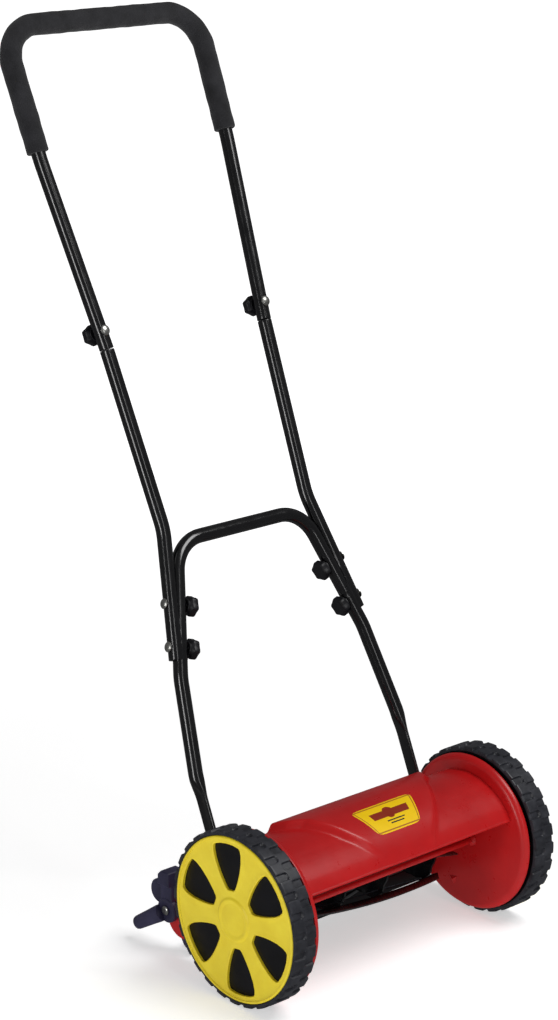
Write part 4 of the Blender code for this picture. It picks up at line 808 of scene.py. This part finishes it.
def make_dish(label, side):
    """Dark dish that closes the wheel just behind the cap's windows."""
    profile = [(214.4, 0.0), (214.4, 30.0), (214.2, 60.0), (214.2, RIM_R - 3.0), (213.6, RIM_R - 2.0),
               (209.5, RIM_R - 2.0), (209.5, 40.0), (210.6, 22.0), (210.9, 0.0)]
    profile = [(x * side, r) for x, r in profile]
    dish = shell(turned(profile, 96), lids=False)
    add_piece(f"wheel_dish_{label}", dish, "black_plastic", f"{label}_wheel")


# ---------------------------------------------------------------- side plates, cover, bed
LUG_Y = 145
LUG_Z = -61
LUG_R = 26
LUG_ROOT_R = 84
TAB_UP = 30
TAB_BACK = 11.3
ROD_END = 171.7
ROD_Y = -11.5
ROD_Z = -6.5


def make_plate(label, side):
    """Pressed pan of 2.5 mm sheet with a quarter-round rim and a rolled lip, and its lug, nut and tab."""
    face, flat = PLATE_IN, PLATE_R - PLATE_ROUND
    lip = face + PLATE_ROUND
    turn = np.linspace(0, math.pi / 2, 10)
    inside = PLATE_ROUND - PLATE_WALL
    outer = [(lip - PLATE_ROUND * math.cos(a), flat + PLATE_ROUND * math.sin(a)) for a in turn]
    under = [(lip - inside * math.cos(a), flat + inside * math.sin(a)) for a in turn[::-1]]
    profile = [(face, 0.0), (face, 60.0), (face, 84.0), *outer, (lip + 0.6, PLATE_R - 0.3),
               (lip + 0.8, PLATE_R - 1.2), (lip + 0.6, PLATE_R - PLATE_WALL + 0.2), *under,
               (face + PLATE_WALL, 60.0), (face + PLATE_WALL, 0.0)]
    pan = shell(turned([(x * side, r) for x, r in profile], 128), lids=False)
    add_piece(f"side_plate_{label}_pan", pan, "red_enamel", "chassis", [f"side_plate_{label}"], 40)
    tail_angle = np.radians(np.arange(-125, 63, 9))[:, None]
    root_angle = np.radians(np.arange(2, -67, -8))[:, None]
    tail = np.array([LUG_Y, LUG_Z]) + LUG_R * np.hstack([np.cos(tail_angle), np.sin(tail_angle)])
    root = LUG_ROOT_R * np.hstack([np.cos(root_angle), np.sin(root_angle)])
    lug = pressed(np.vstack([tail, root]), (face + 0.05) * side, (face + PLATE_WALL - 0.05) * side, 0.8)
    add_piece(f"side_plate_{label}_lug", lug, "red_enamel", "chassis", [f"side_plate_{label}"], 40)
    # the axle's nut: a turned disc cut back to six flats
    nut = [(0.0, 0.0), (0.0, 7.2), (0.7, 8.0), (4.6, 8.0), (5.4, 7.2), (5.4, 0.0)]

    def hexagon(angle, along, radius):
        spread = np.abs((angle + math.pi / 6) % (math.pi / 3) - math.pi / 6)
        return np.minimum(radius, 6.95 / np.cos(spread))

    hub = turned(nut, 72, ((face - 5.2) * side, 0, 0), (side, 0, 0), hexagon)
    add_piece(f"axle_nut_{label}", shell(hub, lids=False), "red_enamel", "chassis",
              [f"side_plate_{label}"], 30)
    # the tab that the folded handle rests on, TAB_UP along the leaning leg and TAB_BACK behind it
    tab_y = PIVOT_Y + TAB_UP * math.sin(LEAN) + TAB_BACK * math.cos(LEAN)
    tab_z = TAB_UP * math.cos(LEAN) - TAB_BACK * math.sin(LEAN)
    tab = soft_box(((face + 1 - 6.5) * side, tab_y, tab_z), (6.5, 1.25, 7.0), 0.8)
    tab = tilted(tab, (tab_y, tab_z), -LEAN)
    add_piece(f"stop_tab_{label}", tab, "red_enamel", "chassis", [f"side_plate_{label}"])

    def triangle(angle, along, radius):
        spread = np.abs((angle + 0.35) % (2 * math.pi / 3) - math.pi / 3)
        return np.minimum(radius, radius * 0.52 / np.cos(spread))

    peak = turned([(0.0, 0.0), (0.0, 7.6), (0.5, 7.2), (2.6, 1.4), (2.9, 0.0)], 48,
                  ((face + 0.2) * side, 19.0, -69.0), (-side, 0, 0), triangle)
    add_piece(f"plate_stamp_{label}", shell(peak, lids=False), "red_enamel", "chassis", sharp=25)


TONGUE_ANGLES = np.radians([66.0, 78.0, 87.0, 98.0, 118.0, 127.0, 141.0, 153.3])
TONGUE_HALVES = [130.0, 118.0, 103.0, 93.0, 74.0, 63.0, 47.0, 40.0]
TONGUE_RISE = [9.0, 9.2, 9.2, 8.8, 7.2, 5.6, 2.4, 0.0]
COVER_BASE = [82.2, 81.8, 81.8, 81.8, 82.4, 83.4, 84.6, 84.8]


def cover_radius(angle, x):
    """Radius of the cover's outer face: its own curve, raised in the tongue by a shoulder 13 mm wide."""
    base = np.interp(angle, TONGUE_ANGLES, COVER_BASE)
    half = np.interp(angle, TONGUE_ANGLES, TONGUE_HALVES)
    rise = np.interp(angle, TONGUE_ANGLES, TONGUE_RISE)
    return base + rise * smooth((half - np.abs(x)) / 13.0 + 0.5)


def make_cover():
    """Sheet cover from its rear edge over the top to the front lip, 1.2 mm thick with a folded front hem."""
    start, end = TONGUE_ANGLES[0], TONGUE_ANGLES[-1]
    angles = np.concatenate([np.linspace(start, end - 0.03, 90), np.linspace(end - 0.024, end, 7)])
    x = np.linspace(-PLATE_IN + 0.3, PLATE_IN - 0.3, 150)[:, None]
    outer = cover_radius(angles[None, :], x)
    hem = smooth((angles - end + 0.030) / 0.012)[None, :]
    outer = outer + 0.55 * hem * (1 - smooth((angles - end + 0.004) / 0.004))[None, :]
    inner = outer - 1.2 - 1.0 * hem
    both = np.concatenate([outer, inner[:, ::-1]], 1)
    turn = np.concatenate([angles, angles[::-1]])[None, :]
    grid = np.stack([x + 0 * both, both * np.cos(turn), both * np.sin(turn)], -1)
    points, quads = shell(grid, lids=False)
    rows, columns, _ = grid.shape
    k = np.arange(columns // 2 - 1)
    for row, flip in ((0, False), (rows - 1, True)):
        lid = row * columns + np.stack([k, k + 1, columns - 2 - k, columns - 1 - k], -1)
        quads = np.vstack([quads, lid[:, ::-1] if flip else lid])
    add_piece("deflector_cover_pressed", (points, quads), "red_enamel", "chassis", ["deflector_cover"], 45)


def make_label():
    """Thin sticker on the cover's tongue: a squared-off disc of points stretched to a trapezoid."""
    rho = np.array([0.0, 0.2, 0.4, 0.6, 0.75, 0.88, 0.96, 1.0, 1.0])[:, None]
    phi = np.linspace(0, 2 * math.pi, 144, endpoint=False)[None, :]
    power = 9.0
    square = (np.abs(np.cos(phi)) ** power + np.abs(np.sin(phi)) ** power) ** (-1 / power)
    s = rho * np.cos(phi) * square
    t = 0.5 + 0.5 * rho * np.sin(phi) * square
    left = -34.0 + (-47.0 + 34.0) * t
    right = 35.0 + (54.0 - 35.0) * t
    x = left + (right - left) * (s + 1) / 2
    angle = np.radians(128.0 + (99.5 - 128.0) * t)
    lift = np.array([0.22] * 7 + [0.12, -0.10])[:, None]
    radius = cover_radius(angle, x) + lift
    grid = np.stack([x, radius * np.cos(angle), radius * np.sin(angle)], -1)
    # the underside: a ring half way in, just under the cover's face, closed to its middle by the lid
    middle_x = x[-1] * 0.5 + x[-1].mean() * 0.5
    middle_angle = angle[-1] * 0.5 + angle[-1].mean() * 0.5
    low = cover_radius(middle_angle, middle_x) - 0.10
    lowest = np.stack([middle_x, low * np.cos(middle_angle), low * np.sin(middle_angle)], -1)
    points, quads = shell(np.concatenate([grid, lowest[None]]))
    chart = np.stack([(s + 1) / 2, t + 0 * s], -1).reshape(-1, 2)
    chart = np.vstack([chart, np.tile([[0.05, 0.05]], (len(points) - len(chart), 1))])
    chart[len(points) - 2] = (0.5, 0.5)
    add_piece("label_sticker", (points, quads), "label", "chassis", sharp=60,
              chart=chart)


def make_rods():
    """Cross rod under the cover, with a rounded bolt head at each end."""
    profile = [(-ROD_END, 0.0), (-ROD_END, 4.0), (ROD_END, 4.0), (ROD_END, 0.0)]
    rod = turned(profile, 40, (0, ROD_Y, ROD_Z))
    add_piece("cross_rod_round", shell(rod, lids=False), "red_enamel", "chassis", ["cross_rod"])
    head = [(0.0, 0.0), (0.0, 7.5), (1.6, 7.2), (3.4, 5.6), (4.4, 3.9), (4.4, 0.0)]
    for label, side in SIDES.items():
        end = turned(head, 40, (side * ROD_END, ROD_Y, ROD_Z), (-side, 0, 0))
        add_piece(f"cross_rod_collar_{label}", shell(end, lids=False), "red_enamel", "chassis", sharp=40)


def make_bed():
    """Folded bed bar with rounded arrises, and the knife with a ground bevel on its front edge."""
    front = REEL_Y + 27.0
    top = REEL_Z - math.sqrt((REEL_R + 0.6) ** 2 - 27.0 ** 2)
    seat = top - 2.5 - 0.3
    y0 = front + 1.5
    corners = [(y0, seat), (y0, seat - 21), (y0 + 3, seat - 21), (y0 + 3, seat - 3), (y0 + 24, seat - 3),
               (y0 + 24, seat)]
    bar = pressed(rounded(corners, [1.6, 0.9, 0.9, 1.8, 0.9, 0.9], True, 5), -ROD_END, ROD_END, 0.3, 2)
    add_piece("bed_bar_folded", bar, "bed_coat", "chassis", ["bed_bar"], 40)
    knife = rounded([(front, top), (front, top - 1.0), (front + 2.2, top - 2.5), (front + 24, top - 2.5),
                     (front + 24, top)], [0, 0.2, 0.3, 0.3, 0.3], True, 3)
    points, quads = pressed(knife, -165.7, 165.7, 0.2, 2)
    land = smooth((front + 3.0 - points[:, 1]) / 1.0)
    add_piece("bed_knife_ground", (points, quads), "blade_steel", "chassis", ["bed_knife"], 30, land=land)


# ---------------------------------------------------------------- reel
def make_reel():
    """Four spider discs and five helical blades: blade point = (x, r * cos(a + kx), r * sin(a + kx))."""
    flank = [(1.5, 5.4), (3.4, 5.6), (3.6, 9.5), (1.5, 10.5), (1.1, 14.0), (1.1, 33.0), (1.5, 34.5),
             (1.5, DISC_R - 0.3), (1.2, DISC_R)]
    profile = flank + [(-a, r) for a, r in flank[::-1]]

    def spider(angle, along, radius):
        return radius - 3.2 * smooth((radius - 33.5) / 3.0) * (0.5 + 0.5 * np.cos(5 * angle + 1.2)) ** 3

    for index, x in enumerate((-120.0, -36.0, 36.0, 120.0), start=1):
        grid = turned(profile, 120, (x, REEL_Y, REEL_Z), swell=spider)
        add_piece(f"reel_disc_{index}_pressed", shell(grid, wrap_rows=True), "black_enamel", "reel",
                  [f"reel_disc_{index}"], 40)
    half = 1.25
    loop = rounded([(38.4, -half), (46.2, -half), (REEL_R, -half + 0.9), (REEL_R, half), (38.4, half)],
                   [0.5, 0, 0, 0.1, 0.5], True, 4)
    station = np.linspace(-150.0, 150.0, 121)
    for index in range(5):
        turn = 2 * math.pi * index / 5 + math.radians(72.0) * (station / 300.0)
        c, s = np.cos(turn)[:, None], np.sin(turn)[:, None]
        u, v = loop[:, 0][None], loop[:, 1][None]
        grid = np.stack([station[:, None] + 0 * u, REEL_Y + u * c - v * s, REEL_Z + u * s + v * c], -1)
        points, quads = shell(grid)
        reach = np.hypot(points[:, 1] - REEL_Y, points[:, 2] - REEL_Z)
        land = smooth((reach - 45.7) / 0.5)
        add_piece(f"reel_blade_{index + 1}_ground", (points, quads), "blade_steel", "reel",
                  [f"reel_blade_{index + 1}"], 30, land=land)


# ---------------------------------------------------------------- height bracket and roller
def make_bracket(label, side):
    """Moulded bracket: upright leg with a bevelled head, round boss, tapered tail peg, ear and roller arm."""
    y, z = BRACKET_Y, BRACKET_Z

    def put(part, made):
        add_piece(f"bracket_{part}_{label}", made, "blue_black", "roller_frame", [f"roller_bracket_{label}"])

    head = [(y - 10, z + 33), (y + 11, z + 33), (y + 11, z + 46), (y + 5, z + 52), (y - 10, z + 52)]
    put("head", pressed(rounded(head, [1.5, 1.5, 2.0, 2.0, 2.0], True, 5), 162.6 * side, 187.6 * side, 1.6))
    leg = [(y - 10, z), (y + 11, z), (y + 11, z + 36), (y - 10, z + 36)]
    put("leg", pressed(rounded(leg, 1.5, True, 4), 176.4 * side, 183.0 * side, 1.4))
    boss = [(176.0, 0.0), (176.0, 14.6), (177.4, 16.0), (182.2, 16.0), (183.6, 15.0), (184.0, 13.4),
            (183.7, 9.5), (183.2, 8.0), (183.2, 0.0)]
    put("boss", shell(turned(boss, 72, (0, y, z), (side, 0, 0)), lids=False))
    # the peg slopes down behind the boss and is flattened to 0.78 of its width
    slope = math.radians(-32.5)
    peg_x = side * 184.6
    profile = [(8.0, 0.0), (8.0, 10.4), (13.0, 10.8), (30.0, 9.9), (46.0, 9.3), (60.0, 8.7), (63.0, 8.0),
               (65.0, 6.3), (65.9, 3.4), (66.0, 0.0)]
    peg = turned(profile, 64, (peg_x, y, z), (0.0, math.cos(slope), math.sin(slope)))
    peg[..., 0] = peg_x + (peg[..., 0] - peg_x) * 0.78
    put("peg", shell(peg, lids=False))
    ear = [(0.0, 0.0), (0.0, 13.8), (1.4, 15.5), (9.6, 15.5), (11.0, 13.8), (11.0, 0.0)]
    put("ear", shell(turned(ear, 64, (side * 160.5, y + 28, z + 13), (side, 0, 0)), lids=False))
    # the arm is a bar with round ends, from the screw down to the roller
    heading = math.atan2(ROLLER_Z - z, ROLLER_Y - y)
    sweep = np.linspace(-math.pi / 2, math.pi / 2, 14)
    round_end = 11 * np.stack([np.cos(heading + sweep), np.sin(heading + sweep)], -1)
    arm = np.vstack([np.array([ROLLER_Y, ROLLER_Z]) + round_end, np.array([y, z]) - round_end])
    put("arm", pressed(arm, 162.0 * side, 170.0 * side, 1.2))
    stem = [(y - 9, z + 1), (y + 17, z + 1), (y + 17, z + 37), (y - 9, z + 37)]
    put("stem", pressed(rounded(stem, 2.0, True, 4), 162.4 * side, 169.6 * side, 1.2))
    screw = [(162.5, 0.0), (162.5, 4.0), (184.2, 4.0), (184.2, 5.6), (185.0, 5.8), (186.0, 5.0), (186.7, 3.4),
             (186.2, 1.6), (186.2, 0.0)]
    screw = turned(screw, 40, (0, y, z), (side, 0, 0))
    add_piece(f"height_screw_{label}_domed", shell(screw, lids=False), "zinc_plate", "chassis",
              [f"height_pivot_screw_{label}"], 40)


def make_roller():
    """Ground roller: a plain drum with rounded ends and shallow moulded bands."""
    station = np.linspace(-150.0, 150.0, 61)
    radius = 17.98 - 0.45 * (np.arange(61) % 10 == 5)
    profile = [(-158.0, 4.2), (-158.0, 15.6), (-157.0, 17.4), (-155.0, 18.0)]
    profile += list(zip(station, radius)) + [(155.0, 18.0), (157.0, 17.4), (158.0, 15.6), (158.0, 4.2)]
    grid = turned(profile, 72, (0, ROLLER_Y, ROLLER_Z))
    add_piece("rear_roller_banded", shell(grid, wrap_rows=True), "black_plastic", "roller",
              ["rear_roller"], 30)


def make_pivot(label, side):
    """Domed pivot bolt through the handle's flat end."""
    pin = [(160.9, 0.0), (160.9, 2.0), (161.2, 4.4), (162.2, 6.2), (163.6, 6.8), (165.9, 6.6), (165.9, 4.0),
           (174.9, 4.0), (174.9, 0.0)]
    pin = turned(pin, 40, (0, PIVOT_Y, 0), (side, 0, 0))
    add_piece(f"pivot_bolt_{label}_domed", shell(pin, lids=False), "zinc_plate", "chassis",
              [f"handle_pivot_bolt_{label}"], 40)


# ---------------------------------------------------------------- build
make_lower_frame()
make_upper_frame()
make_clamps()
make_cover()
make_label()
make_rods()
make_bed()
make_reel()
make_roller()
for side_label, side_sign in SIDES.items():
    make_middle(side_label, side_sign)
    make_tyre(side_label, side_sign)
    make_hub_cap(side_label, side_sign)
    make_dish(side_label, side_sign)
    make_plate(side_label, side_sign)
    make_bracket(side_label, side_sign)
    make_pivot(side_label, side_sign)

# the CAD nodes that stay: gears, wheels, bushes, axle bolts, shafts, pawls and knife screws
KEPT = {"wheel_": "black_plastic", "axle_bolt": "zinc_plate", "reel_bearing": "bearing_bronze",
        "reel_shaft": "blade_steel", "pinion_": "blade_steel", "pawl_": "blade_steel",
        "knife_screw": "zinc_plate", "roller_shaft": "zinc_plate"}
for node_name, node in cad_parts.items():
    for start, finish in KEPT.items():
        if node_name.startswith(start):
            node.data.materials.clear()
            node.data.materials.append(FINISH[finish])


# ---------------------------------------------------------------- floor, light and camera
def make_stage():
    """A pale paper sweep, wide enough to fill the view, that glows more and more from 0.5 m to 2.4 m out."""
    material, shader, at = new_finish("paper_sweep", {
        "Specular IOR Level": 0.0, "Emission Color": (1.0, 1.0, 1.0, 1.0)})
    reach = add(material, "VectorMath", links=at, operation="LENGTH")
    glow = add(material, "MapRange", {"From Min": 0.5, "From Max": 2.4, "To Min": 0.50, "To Max": 1.0},
               {"Value": (reach, "Value")}, interpolation_type="SMOOTHSTEP")
    cloud = add(material, "TexNoise", {"Scale": 1000 / 900.0, "Detail": 2.0, "Roughness": 0.5}, at)
    fibre = add(material, "TexNoise", {"Scale": 1000 / 3.0, "Detail": 2.0, "Roughness": 0.5}, at)
    colour = add(material, "ValToRGB", links={"Fac": (cloud, "Fac")},
                 stops=[(0.3, linear("#F6F6F6")), (0.7, linear("#FBFBFB"))])
    gloss = add(material, "ValToRGB", links={"Fac": (fibre, "Fac")},
                stops=[(0.3, grey(0.85)), (0.7, grey(0.95))])
    wire(material, shader, {"Base Color": (colour, "Color"), "Roughness": (gloss, "Color"),
                            "Emission Strength": (glow, "Result")})
    mesh = bpy.data.meshes.new("floor")
    far = 40.0
    mesh.from_pydata([(-far, -far, 0), (far, -far, 0), (far, far, 0), (-far, far, 0)], [], [(0, 1, 2, 3)])
    mesh.materials.append(material)
    floor = bpy.data.objects.new("floor", mesh)
    floor.visible_glossy = False
    bpy.context.scene.collection.objects.link(floor)


def area_light(name, place, aim, wide, tall, power):
    """A soft rectangular light that looks at a point."""
    lamp = bpy.data.lights.new(name, "AREA")
    lamp.shape = "RECTANGLE"
    lamp.size = wide
    lamp.size_y = tall
    lamp.energy = power
    thing = bpy.data.objects.new(name, lamp)
    thing.location = place
    thing.rotation_euler = (Vector(aim) - Vector(place)).to_track_quat("-Z", "Y").to_euler()
    bpy.context.scene.collection.objects.link(thing)


make_stage()
area_light("key", (0.9, -1.7, 3.4), (0, 0, 0.4), 2.0, 2.0, 80)
area_light("strip_left", (-2.9, -0.7, 0.9), (0, 0, 0.5), 0.45, 1.7, 21)
area_light("strip_front", (-0.6, -3.0, 1.5), (0, 0, 0.6), 0.30, 2.2, 8)
world = bpy.data.worlds.new("studio")
world.use_nodes = True
world.node_tree.nodes["Background"].inputs["Color"].default_value = (1.0, 1.0, 1.0, 1.0)
world.node_tree.nodes["Background"].inputs["Strength"].default_value = 0.12
bpy.context.scene.world = world
bpy.context.scene.view_settings.view_transform = "Standard"

AZIMUTH = math.radians(-42.65)
ELEVATION = math.radians(16.05)
ROLL = math.radians(0.15)
CAMERA_PLACE = np.array([-2160.0, -2184.3, 1337.1]) * MM + AXLE
lens = bpy.data.cameras.new("camera")
lens.sensor_fit = "AUTO"
lens.sensor_width = 36.0
lens.lens = 96.44
lens.clip_start = 0.05
lens.clip_end = 200.0
camera = bpy.data.objects.new("camera", lens)
back = Vector((math.sin(AZIMUTH) * math.cos(ELEVATION), -math.cos(AZIMUTH) * math.cos(ELEVATION),
               math.sin(ELEVATION)))
right = Vector((math.cos(AZIMUTH), math.sin(AZIMUTH), 0.0))
up = back.cross(right)
rolled_right = right * math.cos(ROLL) + up * math.sin(ROLL)
rolled_up = up * math.cos(ROLL) - right * math.sin(ROLL)
camera.matrix_world = Matrix((
    (rolled_right.x, rolled_up.x, back.x, CAMERA_PLACE[0]),
    (rolled_right.y, rolled_up.y, back.y, CAMERA_PLACE[1]),
    (rolled_right.z, rolled_up.z, back.z, CAMERA_PLACE[2]),
    (0.0, 0.0, 0.0, 1.0)))
bpy.context.scene.collection.objects.link(camera)
bpy.context.scene.camera = camera
